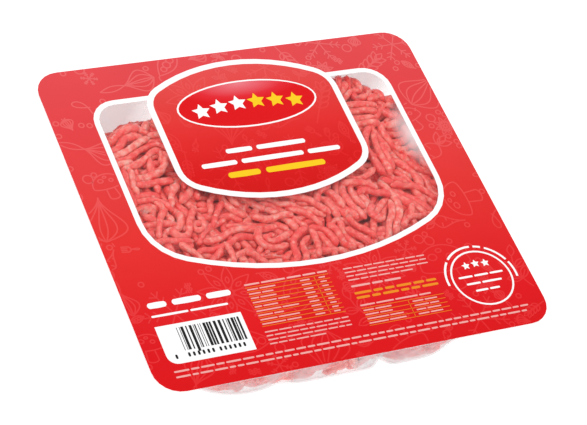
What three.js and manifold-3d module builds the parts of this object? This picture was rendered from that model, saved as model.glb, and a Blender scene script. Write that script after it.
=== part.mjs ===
// A sealed tray pack of minced meat: a thermoformed clear tray, the mince that fills it, and a clear
// lidding film whose print leaves a window. Millimetres, +Z up, +X along the print's long side.
// The origin is at the middle of the tray's underside, so the pack stands on z = 0.
import * as THREE from "three";
import { mergeVertices } from "three/addons/utils/BufferGeometryUtils.js";
import Module from "manifold-3d";

const wasm = await Module();
wasm.setup();

// Driving dimensions of the pack.
const PACK_X = 200;
const PACK_Y = 185.5;
const PACK_CORNER = 12.5;
const FLANGE_TOP = 38.8;
const SHEET = 0.8;
const FILM = 0.3;
const INK = 0.12;

// The tray's cavity, at its mouth and where its wall meets the floor, as half sizes to the outer face.
const MOUTH = { x: 88.5, y: 83.7, corner: 22 };
const BASE = { x: 83.5, y: 80, corner: 40 };
const FLOOR_FILLET = 5.5;
const MOUTH_FILLET = 1.6;

// Grooves pressed into the walls: place along the wall, depth, and half width at 1/e of the depth.
const LONG_WALL_GROOVES = [
  { at: -28, depth: 1.8, width: 7 },
  { at: 25, depth: 4.5, width: 3.6 },
];
const SHORT_WALL_GROOVES = [
  { at: -20, depth: 3, width: 4 },
  { at: 20, depth: 3, width: 4 },
];

// The mince: gaps to the tray and film, and its strands as the grinder made them.
const WALL_GAP = 0.6;
const HEAD_GAP = 0.8;
const LOWEST_TOP = 8;
const STRAND_RADIUS = 2.1;
const KEEL = 5;
const STRAND_STEPS = 6;
const STRAND_LENGTH = 44;
const STRAND_ROWS = 6;
const STRAND_COLUMNS = 6;
const SEED = 5;

// The print: white borders, the window and the title shield, as half widths, heights and arc radii.
const WINDOW = { halfWidth: 79.2, top: 71.4, bottom: -39.9, topCorner: 13, arc: 155, fillet: 27 };
const WINDOW_BORDER = 2.75;
const SHIELD = {
  halfWidth: 50.5,
  top: 86.9,
  bottom: 0.7,
  topArc: 87,
  bottomArc: 89,
  fillet: 15,
};
const SHIELD_BORDER = 3.1;
const EMBLEM = { y: 58.8, halfWidth: 37, halfHeight: 14.6, border: 0.9 };
const TITLE_BARS = [
  { name: "title_bar_upper", x: -1, y: 31.6, width: 42, height: 4.2, colour: "white" },
  { name: "title_bar_middle", x: -0.5, y: 24.8, width: 72, height: 4.2, colour: "white" },
  { name: "title_bar_lower", x: -0.5, y: 17.4, width: 50, height: 5.2, colour: "yellow" },
];
const WEIGHT_BAR = { x: -69.8, y: -46.8, width: 40, height: 5 };
const BARCODE = { x: -69.8, y: -68.4, width: 41.5, height: 20.6, corner: 5 };
const SEAL = { x: 74.2, y: -63.3, radius: 15.8, border: 0.9 };

const ARC_STEP = THREE.MathUtils.degToRad(15);
const CIRCLE_STEPS = 40;
const TIDY = 0.05;
const ROUGHNESS = 0.03;

const FINISHES = {
  tray: new THREE.MeshStandardMaterial({
    color: 0xe9ecee,
    roughness: 0.22,
    transparent: true,
    opacity: 0.35,
  }),
  mince: new THREE.MeshStandardMaterial({ color: 0xd9615a, roughness: 0.55 }),
  film: new THREE.MeshStandardMaterial({
    color: 0xf4f6f8,
    roughness: 0.08,
    transparent: true,
    opacity: 0.2,
  }),
  red: new THREE.MeshStandardMaterial({ color: 0xe32a2f, roughness: 0.3 }),
  white: new THREE.MeshStandardMaterial({ color: 0xfcfcfc, roughness: 0.32 }),
  yellow: new THREE.MeshStandardMaterial({ color: 0xf9c80e, roughness: 0.32 }),
  plaque: new THREE.MeshStandardMaterial({ color: 0xdb1f26, roughness: 0.18 }),
};

// Seeded random numbers from 0 to 1, the same at each run.
function makeRandom(seed) {
  let state = seed >>> 0;
  return () => {
    state = (state + 0x6d2b79f5) >>> 0;
    let t = state;
    t = Math.imul(t ^ (t >>> 15), t | 1);
    t ^= t + Math.imul(t ^ (t >>> 7), t | 61);
    return ((t ^ (t >>> 14)) >>> 0) / 4294967296;
  };
}

function toSolid(geometry) {
  const bare = new THREE.BufferGeometry().setAttribute(
    "position",
    (geometry.index ? geometry.toNonIndexed() : geometry).getAttribute("position"),
  );
  const merged = mergeVertices(bare, 1e-3);
  return new wasm.Manifold(
    new wasm.Mesh({
      numProp: 3,
      vertProperties: new Float32Array(merged.attributes.position.array),
      triVerts: new Uint32Array(merged.index.array),
    }),
  );
}

function toGeometry(solid) {
  const mesh = solid.getMesh();
  const positions = new Float32Array(mesh.numVert * 3);
  for (let i = 0; i < mesh.numVert; i++)
    positions.set(mesh.vertProperties.subarray(i * mesh.numProp, i * mesh.numProp + 3), i * 3);
  const geometry = new THREE.BufferGeometry()
    .setAttribute("position", new THREE.BufferAttribute(positions, 3))
    .setIndex(new THREE.BufferAttribute(new Uint32Array(mesh.triVerts), 1));
  geometry.computeVertexNormals();
  return geometry;
}

// The largest outer body alone: what a union leaves loose or seals inside is dropped, and so are edges
// too short to matter.
function largestBody(solid) {
  return solid
    .asOriginal()
    .simplify(TIDY)
    .decompose()
    .reduce((a, b) => (b.volume() > a.volume() ? b : a));
}

// A smooth dent of a groove, from 0 away from it to its depth at its middle.
function grooveDepth(grooves, place) {
  return grooves.reduce(
    (sum, g) => sum + g.depth * Math.exp(-(((place - g.at) / g.width) ** 2)),
    0,
  );
}

// Places along a straight wall where an outline has points, close together at the grooves.
function wallPlaces(grooves) {
  const places = grooves.flatMap((g) => [-2, -1.1, -0.5, 0, 0.5, 1.1, 2].map((k) => g.at + k * g.width));
  return [...places, 0].filter((p) => Math.abs(p) < BASE.y - BASE.corner).sort((a, b) => a - b);
}

const CORNER_STEPS = 7;
const LONG_PLACES = wallPlaces(LONG_WALL_GROOVES);
const SHORT_PLACES = wallPlaces(SHORT_WALL_GROOVES);

// The points of a rounded rectangle, anticlockwise from the front wall's left end. grooved is the share of
// the grooves' depth that the outline takes.
function trayOutline({ x, y, corner, grooved = 0 }) {
  const points = [];
  const corners = (cx, cy, start) => {
    for (let k = 0; k <= CORNER_STEPS; k++) {
      const a = start + ((Math.PI / 2) * k) / CORNER_STEPS;
      points.push([cx + corner * Math.cos(a), cy + corner * Math.sin(a)]);
    }
  };
  const long = (p) => y - grooved * grooveDepth(LONG_WALL_GROOVES, p);
  const short = (p) => x - grooved * grooveDepth(SHORT_WALL_GROOVES, p);
  LONG_PLACES.forEach((p) => points.push([p, -long(p)]));
  corners(x - corner, -(y - corner), -Math.PI / 2);
  SHORT_PLACES.forEach((p) => points.push([short(p), p]));
  corners(x - corner, y - corner, 0);
  [...LONG_PLACES].reverse().forEach((p) => points.push([p, long(p)]));
  corners(-(x - corner), y - corner, Math.PI / 2);
  [...SHORT_PLACES].reverse().forEach((p) => points.push([-short(p), p]));
  corners(-(x - corner), -(y - corner), Math.PI);
  return points;
}

// A closed solid from a stack of rings with the same number of points, closed at each end by a fan to
// that end's middle point.
function ringSolid(rings, firstMiddle, lastMiddle) {
  const count = rings[0].length;
  const positions = [...rings.flat(), firstMiddle, lastMiddle].flat();
  const index = [];
  const at = (ring, k) => ring * count + (k % count);
  for (let r = 0; r + 1 < rings.length; r++)
    for (let k = 0; k < count; k++) {
      index.push(at(r, k), at(r, k + 1), at(r + 1, k));
      index.push(at(r + 1, k), at(r, k + 1), at(r + 1, k + 1));
    }
  const first = rings.length * count;
  const top = rings.length - 1;
  for (let k = 0; k < count; k++) {
    index.push(first, at(0, k + 1), at(0, k));
    index.push(first + 1, at(top, k), at(top, k + 1));
  }
  const geometry = new THREE.BufferGeometry()
    .setAttribute("position", new THREE.Float32BufferAttribute(positions, 3))
    .setIndex(index);
  return toSolid(geometry);
}

// The tray's section as outlines at heights, from the middle of the floor out to the mouth. inset moves
// it inwards from the sheet's outer face, and up from its underside.
function cavityStations(inset) {
  const floor = inset;
  const fillet = FLOOR_FILLET - inset;
  const base = { x: BASE.x - inset, y: BASE.y - inset, corner: BASE.corner - inset };
  const mouth = { x: MOUTH.x - inset, y: MOUTH.y - inset, corner: MOUTH.corner - inset };
  const stations = [0, 30, 60, 90].map((degrees) => {
    const a = THREE.MathUtils.degToRad(degrees);
    const pull = fillet * (1 - Math.sin(a));
    return {
      x: base.x - pull,
      y: base.y - pull,
      corner: base.corner - pull,
      grooved: 1,
      z: floor + fillet * (1 - Math.cos(a)),
    };
  });
  [0.55, 0.85].forEach((share) => {
    stations.push({
      x: THREE.MathUtils.lerp(base.x, mouth.x, share),
      y: THREE.MathUtils.lerp(base.y, mouth.y, share),
      corner: THREE.MathUtils.lerp(base.corner, mouth.corner, share),
      grooved: 1 - share ** 2,
      z: THREE.MathUtils.lerp(FLOOR_FILLET, FLANGE_TOP - SHEET - MOUTH_FILLET, share),
    });
  });
  return stations;
}

const placeRing = (s) => trayOutline(s).map(([x, y]) => [x, y, s.z]);

function makeTray() {
  const edge = { x: PACK_X / 2, y: PACK_Y / 2, corner: PACK_CORNER };
  const lip = (top) => ({ ...edge, z: top ? FLANGE_TOP : FLANGE_TOP - SHEET });
  const mouthTop = {
    x: MOUTH.x - SHEET + MOUTH_FILLET,
    y: MOUTH.y - SHEET + MOUTH_FILLET,
    corner: MOUTH.corner - SHEET + MOUTH_FILLET,
    z: FLANGE_TOP,
  };
  const mouthUnder = { ...MOUTH, x: MOUTH.x + MOUTH_FILLET, y: MOUTH.y + MOUTH_FILLET, z: FLANGE_TOP - SHEET };
  const outer = cavityStations(0);
  const inner = cavityStations(SHEET);
  const rings = [...outer, mouthUnder, lip(false), lip(true), mouthTop, ...inner.reverse()];
  return toGeometry(ringSolid(rings.map(placeRing), [0, 0, 0], [0, 0, SHEET]));
}

// The mince's upper face. It is a loaf, full in the middle, with clumps a few strands wide. Past a
// shoulder its back falls away, so that the back wall stands clear of it, most at the corners.
function minceTop(x, y) {
  const full = FLANGE_TOP - HEAD_GAP - STRAND_RADIUS;
  const slope = (past, width) => Math.max(past / width, 0) ** 2;
  const sides = 4 * slope(Math.abs(x) - 70, 16);
  const front = 6 * slope(-y - 66, 16);
  const corner = Math.min(slope(Math.abs(x) - 58, 5.2), 13.7);
  const shoulder = 62 + 4.8 * Math.tanh(x / 40) + 9 * Math.exp(-((x / 30) ** 2)) - corner;
  const back = full - 1.45 * (y - shoulder);
  const clumps =
    1.3 * Math.sin(x / 7.3 + 1.7 * Math.sin(y / 11)) * Math.sin(y / 6.1 + 1.3 * Math.sin(x / 9.7));
  return Math.max(Math.min(full - 2 - sides - front, back) + clumps, LOWEST_TOP);
}

// The room inside the tray, closed by a flat face under the film.
function makeRoom() {
  const side = cavityStations(SHEET + WALL_GAP);
  const brim = { ...side[side.length - 1], z: FLANGE_TOP - HEAD_GAP };
  return ringSolid([...side, brim].map(placeRing), [0, 0, side[0].z], [0, 0, brim.z]);
}

function makeCore() {
  const gap = SHEET + WALL_GAP + 0.5;
  const side = cavityStations(gap);
  const bottom = side[0];
  const brim = side[side.length - 1];
  const scaled = (station, share) => ({
    ...station,
    x: station.x * share,
    y: station.y * share,
    corner: station.corner * share,
    grooved: station.grooved * share,
  });
  const sideRings = [scaled(bottom, 0.99), ...side.slice(1, -1)].map((s) =>
    trayOutline(s).map(([x, y]) => [x, y, Math.min(s.z, minceTop(x, y) - 1)]),
  );
  const topRings = [1, 0.9, 0.76, 0.6, 0.42, 0.22].map((share) =>
    trayOutline(scaled(brim, share)).map(([x, y]) => [x, y, minceTop(x, y)]),
  );
  return ringSolid([...sideRings, ...topRings], [0, 0, bottom.z], [0, 0, minceTop(0, 0)]);
}

// The way the strands flow at a place, in radians: broad swirls, as they fell from the grinder.
function flowAngle(x, y) {
  return 1.6 * Math.sin(x / 31 + 0.8) + 1.9 * Math.cos(y / 27 - 0.5) + 0.9 * Math.sin((x + y) / 19);
}

function strandPath(x, y, length, bend, turn) {
  const points = [];
  const pace = length / STRAND_STEPS;
  const limitX = MOUTH.x - SHEET - WALL_GAP - STRAND_RADIUS - 4;
  const limitY = MOUTH.y - SHEET - WALL_GAP - STRAND_RADIUS - 4;
  let heading = flowAngle(x, y) + turn;
  for (let k = 0; k <= STRAND_STEPS; k++) {
    const reach = ((Math.abs(x) / limitX) ** 6 + (Math.abs(y) / limitY) ** 6) ** (1 / 6);
    if (reach > 1) {
      x /= reach;
      y /= reach;
    }
    points.push(new THREE.Vector3(x, y, minceTop(x, y) + 0.45 * STRAND_RADIUS));
    x += pace * Math.cos(heading);
    y += pace * Math.sin(heading);
    heading += bend * Math.sin((k / STRAND_STEPS) * Math.PI * 1.5 + turn);
  }
  return points;
}

// A strand along a path: round on top, with a keel that sinks into the heap below.
function makeStrand(points) {
  const section = [
    [-0.7 * STRAND_RADIUS, -KEEL],
    [0.7 * STRAND_RADIUS, -KEEL],
    [STRAND_RADIUS, 0],
    [0.6 * STRAND_RADIUS, 0.8 * STRAND_RADIUS],
    [-0.6 * STRAND_RADIUS, 0.8 * STRAND_RADIUS],
    [-STRAND_RADIUS, 0],
  ];
  const rings = points.map((p, k) => {
    const along = points[Math.min(k + 1, points.length - 1)].clone().sub(points[Math.max(k - 1, 0)]);
    const left = new THREE.Vector2(-along.y, along.x).normalize();
    return section.map(([a, b]) => [p.x + a * left.x, p.y + a * left.y, p.z + b]);
  });
  const middle = (p) => [p.x, p.y, p.z];
  return ringSolid(rings, middle(points[0]), middle(points[points.length - 1]));
}

function makeMince() {
  const random = makeRandom(SEED);
  const strands = [];
  const spanX = MOUTH.x - 12;
  const spanY = MOUTH.y - 12;
  for (let row = 0; row < STRAND_ROWS; row++)
    for (let column = 0; column < STRAND_COLUMNS; column++) {
      const x = (((column + 0.2 + 0.6 * random()) / STRAND_COLUMNS) * 2 - 1) * spanX;
      const y = (((row + 0.2 + 0.6 * random()) / STRAND_ROWS) * 2 - 1) * spanY;
      const length = STRAND_LENGTH * (0.65 + 0.6 * random());
      const points = strandPath(x, y, length, 0.75 * (random() - 0.5), 1.1 * (random() - 0.5));
      strands.push(makeStrand(points));
    }
  const heap = largestBody(wasm.Manifold.union([makeCore(), ...strands]).intersect(makeRoom()));
  // A hair of unevenness, so that no face is a needle too thin for a step file to hold.
  return toGeometry(heap.warp((p) => p.forEach((v, k) => (p[k] = v + ROUGHNESS * (random() - 0.5)))));
}

// A flat plate of an outline, lying on the height given.
function plate(shape, bottom, thickness) {
  const geometry = new THREE.ExtrudeGeometry(shape, { depth: thickness, bevelEnabled: false });
  geometry.translate(0, 0, bottom);
  return toSolid(geometry);
}

// The points of an arc, both ends among them, with a step that suits its turn.
function arcPoints(cx, cy, radius, start, end) {
  const steps = Math.max(2, Math.ceil(Math.abs(end - start) / ARC_STEP) * (radius > 60 ? 3 : 1));
  return Array.from({ length: steps + 1 }, (_, k) => {
    const a = start + ((end - start) * k) / steps;
    return new THREE.Vector2(cx + radius * Math.cos(a), cy + radius * Math.sin(a));
  });
}

function roundedRectangle(x, y, width, height, corner) {
  const right = width / 2 - corner;
  const up = height / 2 - corner;
  const turn = Math.PI / 2;
  return new THREE.Shape([
    ...arcPoints(x + right, y + up, corner, 0, turn),
    ...arcPoints(x - right, y + up, corner, turn, 2 * turn),
    ...arcPoints(x - right, y - up, corner, 2 * turn, 3 * turn),
    ...arcPoints(x + right, y - up, corner, 3 * turn, 4 * turn),
  ]);
}

// A panel whose corners are sharp but for the lower left one.
function panelShape(x, y, width, height, corner) {
  const right = x + width / 2;
  const left = x - width / 2;
  const top = y + height / 2;
  const bottom = y - height / 2;
  const turn = Math.PI / 2;
  return new THREE.Shape([
    new THREE.Vector2(right, bottom),
    new THREE.Vector2(right, top),
    new THREE.Vector2(left, top),
    ...arcPoints(left + corner, bottom + corner, corner, 2 * turn, 3 * turn),
  ]);
}

// The right half of a wide arc that is rounded into upright sides. up is 1 for an arc over the shape and
// -1 for one under it. The other half is its mirror.
function roundedArc(halfWidth, peak, arc, fillet, up) {
  const centre = peak - up * arc;
  const x = halfWidth - fillet;
  const rise = Math.sqrt((arc - fillet) ** 2 - x ** 2);
  const meet = Math.atan2(rise, x);
  const half = [
    ...arcPoints(x, centre + up * rise, fillet, 0, up * meet),
    ...arcPoints(0, centre, arc, up * meet, (up * Math.PI) / 2).slice(1),
  ];
  const mirrored = half.slice(0, -1).reverse().map((p) => new THREE.Vector2(-p.x, p.y));
  return [...half, ...mirrored];
}

function windowShape(inset) {
  const halfWidth = WINDOW.halfWidth - inset;
  const corner = WINDOW.topCorner - inset;
  const top = WINDOW.top - inset - corner;
  const turn = Math.PI / 2;
  const under = roundedArc(halfWidth, WINDOW.bottom + inset, WINDOW.arc - inset, WINDOW.fillet - inset, -1);
  return new THREE.Shape([
    ...arcPoints(halfWidth - corner, top, corner, 0, turn),
    ...arcPoints(-(halfWidth - corner), top, corner, turn, 2 * turn),
    ...under.reverse(),
  ]);
}

function shieldShape(inset) {
  const halfWidth = SHIELD.halfWidth - inset;
  const fillet = SHIELD.fillet - inset;
  const over = roundedArc(halfWidth, SHIELD.top - inset, SHIELD.topArc - inset, fillet, 1);
  const under = roundedArc(halfWidth, SHIELD.bottom + inset, SHIELD.bottomArc - inset, fillet, -1);
  return new THREE.Shape([...over, ...under.reverse()]);
}

function ellipseShape(x, y, halfWidth, halfHeight) {
  const ring = Array.from({ length: CIRCLE_STEPS }, (_, k) => {
    const a = (2 * Math.PI * k) / CIRCLE_STEPS;
    return new THREE.Vector2(x + halfWidth * Math.cos(a), y + halfHeight * Math.sin(a));
  });
  return new THREE.Shape(ring);
}

function makePrint(group) {
  const filmTop = FLANGE_TOP + FILM;
  const first = (shape) => plate(shape, filmTop, INK);
  const second = (shape) => plate(shape, filmTop + INK, INK);
  const add = (name, solid, finish) => group.add(named(name, toGeometry(solid), FINISHES[finish]));
  const outline = roundedRectangle(0, 0, PACK_X, PACK_Y, PACK_CORNER);
  const cut = (shape) => plate(shape, filmTop - 1, 3);

  add("lid_film", plate(outline, FLANGE_TOP, FILM), "film");
  const opening = cut(windowShape(0)).add(cut(shieldShape(0)));
  add("print_field", first(outline).subtract(opening), "red");
  const border = first(windowShape(0)).subtract(cut(windowShape(WINDOW_BORDER)));
  add("window_border", largestBody(border.subtract(cut(shieldShape(0)))), "white");
  add("shield_border", first(shieldShape(0)).subtract(cut(shieldShape(SHIELD_BORDER))), "white");
  add("shield_panel", first(shieldShape(SHIELD_BORDER)), "red");

  const oval = (inset) =>
    ellipseShape(0, EMBLEM.y, EMBLEM.halfWidth - inset, EMBLEM.halfHeight - inset);
  add("emblem_border", second(oval(0)).subtract(cut(oval(EMBLEM.border))), "white");
  add("emblem_plaque", second(oval(EMBLEM.border)), "plaque");
  TITLE_BARS.forEach((b) =>
    add(b.name, second(roundedRectangle(b.x, b.y, b.width, b.height, b.height / 2.1)), b.colour),
  );
  const w = WEIGHT_BAR;
  add("weight_bar", second(roundedRectangle(w.x, w.y, w.width, w.height, w.height / 2.1)), "white");
  const b = BARCODE;
  add("barcode_panel", second(panelShape(b.x, b.y, b.width, b.height, b.corner)), "white");
  const ring = (inset) => ellipseShape(SEAL.x, SEAL.y, SEAL.radius - inset, SEAL.radius - inset);
  add("seal_ring", second(ring(0)).subtract(cut(ring(SEAL.border))), "white");
}

function named(name, geometry, material) {
  const mesh = new THREE.Mesh(geometry, material);
  mesh.name = name;
  return mesh;
}

const pack = new THREE.Group();
pack.add(named("tray", makeTray(), FINISHES.tray));
pack.add(named("mince", makeMince(), FINISHES.mince));
makePrint(pack);

export default pack;
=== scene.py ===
"""Looks of a sealed tray pack of minced meat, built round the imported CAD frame.

The pack stands on z = 0, with +X to the print's right and +Y towards the print's top. Sizes are in
millimetres and MM turns them into Blender's metres.
"""

import logging
import math
import random
from dataclasses import dataclass, field
from enum import Enum
from typing import Callable, Iterable, Sequence

import bmesh
import bpy
import numpy as np
from mathutils import Matrix, Vector

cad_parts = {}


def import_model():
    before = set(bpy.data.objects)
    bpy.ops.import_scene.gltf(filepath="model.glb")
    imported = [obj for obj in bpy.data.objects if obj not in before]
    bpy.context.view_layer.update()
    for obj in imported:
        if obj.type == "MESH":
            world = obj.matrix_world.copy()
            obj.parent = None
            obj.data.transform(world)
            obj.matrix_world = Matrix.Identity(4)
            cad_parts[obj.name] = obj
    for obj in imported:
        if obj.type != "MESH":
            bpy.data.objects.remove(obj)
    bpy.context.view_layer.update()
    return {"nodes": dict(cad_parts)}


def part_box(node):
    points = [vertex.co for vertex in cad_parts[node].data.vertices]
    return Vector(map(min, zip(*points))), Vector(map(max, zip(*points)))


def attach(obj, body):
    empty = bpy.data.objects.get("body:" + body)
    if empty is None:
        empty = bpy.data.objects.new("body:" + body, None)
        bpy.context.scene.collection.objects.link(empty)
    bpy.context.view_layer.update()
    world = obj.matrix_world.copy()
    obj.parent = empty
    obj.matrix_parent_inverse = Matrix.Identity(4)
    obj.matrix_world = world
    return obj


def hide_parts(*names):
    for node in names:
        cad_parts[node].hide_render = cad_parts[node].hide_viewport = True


# A millimetre in Blender's metres.
MM = 0.001
BODY = "root"
# Half width and half height of the lid, rounded up.
LID_HALF = (100.0, 93.0)
# Degrees that each straight leg of a drawn curve spans, and the fewest legs of a curve.
LEG_DEGREES = 9
FEWEST_LEGS = 6

Point = tuple[float, float]
Point3 = tuple[float, float, float]
# Half width, half height and corner radius of a rounded rectangle.
Outline = tuple[float, float, float]
# One row of x and y for each point that the pen passes.
Stroke = np.ndarray

log = logging.getLogger("meat_tray_pack")


def linear(colour: str) -> tuple[float, float, float, float]:
    """Turns an sRGB hex colour into the linear colour that a shader reads.

    Args:
        colour: Six hex digits, such as "e32a2f".

    Returns:
        Red, green, blue and an alpha of 1.
    """
    channels = [int(colour[i : i + 2], 16) / 255 for i in (0, 2, 4)]
    toned = [c / 12.92 if c <= 0.04045 else ((c + 0.055) / 1.055) ** 2.4 for c in channels]
    return (toned[0], toned[1], toned[2], 1.0)


def pattern_scale(length: float) -> float:
    """Turns the real length of a pattern, in millimetres, into a texture's scale."""
    return 1 / (length * MM)


def add_node(tree: bpy.types.NodeTree, kind: str, sockets: dict | None = None, **settings) -> bpy.types.Node:
    """Adds a shader node, with its settings, its socket values and its links.

    Args:
        tree: The material's node tree.
        kind: The node's type without the ShaderNode prefix.
        sockets: Input name or number to a value, or to the output socket that feeds it.
        **settings: Properties of the node, such as operation="MULTIPLY".

    Returns:
        The new node.
    """
    node = tree.nodes.new("ShaderNode" + kind)
    for name, value in settings.items():
        setattr(node, name, value)
    for key, value in (sockets or {}).items():
        if isinstance(value, bpy.types.NodeSocket):
            tree.links.new(value, node.inputs[key])
        else:
            node.inputs[key].default_value = value
    return node


def set_ramp(node: bpy.types.Node, stops: Sequence[tuple[float, str]]) -> None:
    """Gives a colour ramp its stops, each a place from 0 to 1 and an sRGB hex colour.

    Args:
        node: The ramp's node.
        stops: Places with their colours, in order.
    """
    elements = node.color_ramp.elements
    while len(elements) < len(stops):
        elements.new(0.5)
    for element, (place, colour) in zip(elements, stops):
        element.position = place
        element.color = linear(colour)


@dataclass(frozen=True)
class Finish:
    """What a surface is made of. Each kind builds its own shader.

    Attributes:
        name: The material's common name.
    """

    name: str

    def shade(self, tree: bpy.types.NodeTree) -> bpy.types.NodeSocket:
        """Builds the shader's nodes.

        Args:
            tree: The material's empty node tree.

        Returns:
            The output that the surface takes.
        """
        raise NotImplementedError

    def material(self) -> bpy.types.Material:
        """Makes the material, or finds the one that was made before.

        Returns:
            The material.
        """
        made = bpy.data.materials.get(self.name)
        if made:
            return made
        material = bpy.data.materials.new(self.name)
        material.use_nodes = True
        tree = material.node_tree
        tree.nodes.clear()
        surface = self.shade(tree)
        add_node(tree, "OutputMaterial", {"Surface": surface})
        return material

    def dress(self, piece: bpy.types.Object) -> None:
        """Puts the material on a piece in place of what it has."""
        piece.data.materials.clear()
        piece.data.materials.append(self.material())


def object_height(tree: bpy.types.NodeTree, axis: int, low: float, high: float) -> bpy.types.NodeSocket:
    """Measures how far along an axis a surface point lies, from 0 at low to 1 at high.

    Args:
        tree: The material's node tree.
        axis: 0, 1 or 2 for X, Y or Z.
        low: The place of 0, in millimetres.
        high: The place of 1, in millimetres.

    Returns:
        The output that carries the share.
    """
    place = add_node(tree, "TexCoord").outputs["Object"]
    parts = add_node(tree, "SeparateXYZ", {0: place})
    sockets = {0: parts.outputs[axis], 1: low * MM, 2: high * MM}
    return add_node(tree, "MapRange", sockets).outputs[0]


def front_only(tree: bpy.types.NodeTree, share: bpy.types.NodeSocket) -> bpy.types.NodeSocket:
    """Keeps a share on a thin wall's outward face and clears it on the face turned away."""
    back = add_node(tree, "NewGeometry").outputs["Backfacing"]
    front = add_node(tree, "Math", {0: 1.0, 1: back}, operation="SUBTRACT")
    return add_node(tree, "Math", {0: share, 1: front.outputs[0]}, operation="MULTIPLY").outputs[0]


def soft_patch(tree: bpy.types.NodeTree, middle: Point, reach: Point) -> bpy.types.NodeSocket:
    """Makes an oval that fades from 1 at its middle to 0 at its rim, seen from above.

    Args:
        tree: The material's node tree.
        middle: Of the oval, in millimetres.
        reach: Its half width and half height, in millimetres.

    Returns:
        The output that carries the share.
    """
    place = add_node(tree, "TexCoord").outputs["Object"]
    flat = add_node(tree, "VectorMath", {0: place, 1: (1.0, 1.0, 0.0)}, operation="MULTIPLY")
    offset = (-middle[0] / reach[0], -middle[1] / reach[1], 0.0)
    scale = (pattern_scale(reach[0]), pattern_scale(reach[1]), 1.0)
    moved = add_node(tree, "Mapping", {0: flat.outputs[0], 1: offset, 3: scale})
    return add_node(tree, "TexGradient", {0: moved.outputs[0]}, gradient_type="SPHERICAL").outputs[1]


@dataclass(frozen=True)
class GravureInk(Finish):
    """Solvent ink printed on the lidding film, under a clear varnish.

    The eye sees an even colour with a soft gloss. It grows paler towards the print's top, a painted sheen of
    the light on the varnish.

    Attributes:
        stops: Places along the lid from its bottom edge (0) to its top edge (1) and their colours, paler
            towards the top as painted sheen.
        roughness: Of the varnish.
        span: The lowest and highest Y that the stops cover, in millimetres.
        mottle: How strongly the colour wanders, partly as the ink's density wanders and partly as painted
            sheen where the film's slight waves catch the light.
    """

    stops: tuple[tuple[float, str], ...]
    roughness: float = 0.34
    span: Point = (-92.75, 92.75)
    mottle: float = 0.035

    def shade(self, tree: bpy.types.NodeTree) -> bpy.types.NodeSocket:
        """Builds the ink's colour with its painted sheen, its faint mottle and the film's long shallow
        waves.
        """
        # The ramp by height paints the sheen of the light, paler towards the print's top.
        ramp = add_node(tree, "ValToRGB", {0: object_height(tree, 1, *self.span)})
        set_ramp(ramp, self.stops)
        place = add_node(tree, "TexCoord").outputs["Object"]
        # Clouds of uneven ink and painted sheen are some 38 mm across, and the waves of the stretched film
        # 24 mm.
        cloud = add_node(tree, "TexNoise", {"Vector": place, "Scale": pattern_scale(38), "Detail": 2.0})
        tone = add_node(
            tree,
            "MapRange",
            {0: cloud.outputs[0], 1: 0.25, 2: 0.75, 3: 1 - self.mottle, 4: 1 + self.mottle},
        )
        toned = add_node(
            tree,
            "Mix",
            {0: 1.0, 6: ramp.outputs[0], 7: tone.outputs[0]},
            data_type="RGBA",
            blend_type="MULTIPLY",
        )
        waves = add_node(tree, "TexNoise", {"Vector": place, "Scale": pattern_scale(24), "Detail": 1.0})
        bump = add_node(tree, "Bump", {"Height": waves.outputs[0], "Strength": 0.12, "Distance": 0.6 * MM})
        shader = add_node(
            tree,
            "BsdfPrincipled",
            {
                "Base Color": toned.outputs[2],
                "Roughness": self.roughness,
                "IOR": 1.48,
                "Specular IOR Level": 0.16,
                "Normal": bump.outputs[0],
            },
        )
        return shader.outputs[0]


@dataclass(frozen=True)
class PlaqueInk(Finish):
    """Solvent ink of the oval plaque, printed in halftone under a clear varnish.

    The eye sees a domed badge, since the deep red fades to a pink gleam along its upper edge.

    Attributes:
        centre: Of the plaque, in millimetres.
        half: The plaque's half width and half height, in millimetres.
    """

    centre: Point
    half: Point

    def shade(self, tree: bpy.types.NodeTree) -> bpy.types.NodeSocket:
        """Builds the gleam as a soft oval cap over the plaque's upper half."""
        top = (self.centre[0], self.centre[1] + 0.95 * self.half[1])
        gleam = soft_patch(tree, top, (0.95 * self.half[0], 0.85 * self.half[1]))
        ramp = add_node(tree, "ValToRGB", {0: gleam})
        set_ramp(ramp, ((0.0, "df000a"), (0.3, "e4222f"), (0.75, "e9636e"), (1.0, "eb7d87")))
        shader = add_node(
            tree,
            "BsdfPrincipled",
            {"Base Color": ramp.outputs[0], "Roughness": 0.3, "IOR": 1.48, "Specular IOR Level": 0.16},
        )
        return shader.outputs[0]


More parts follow.
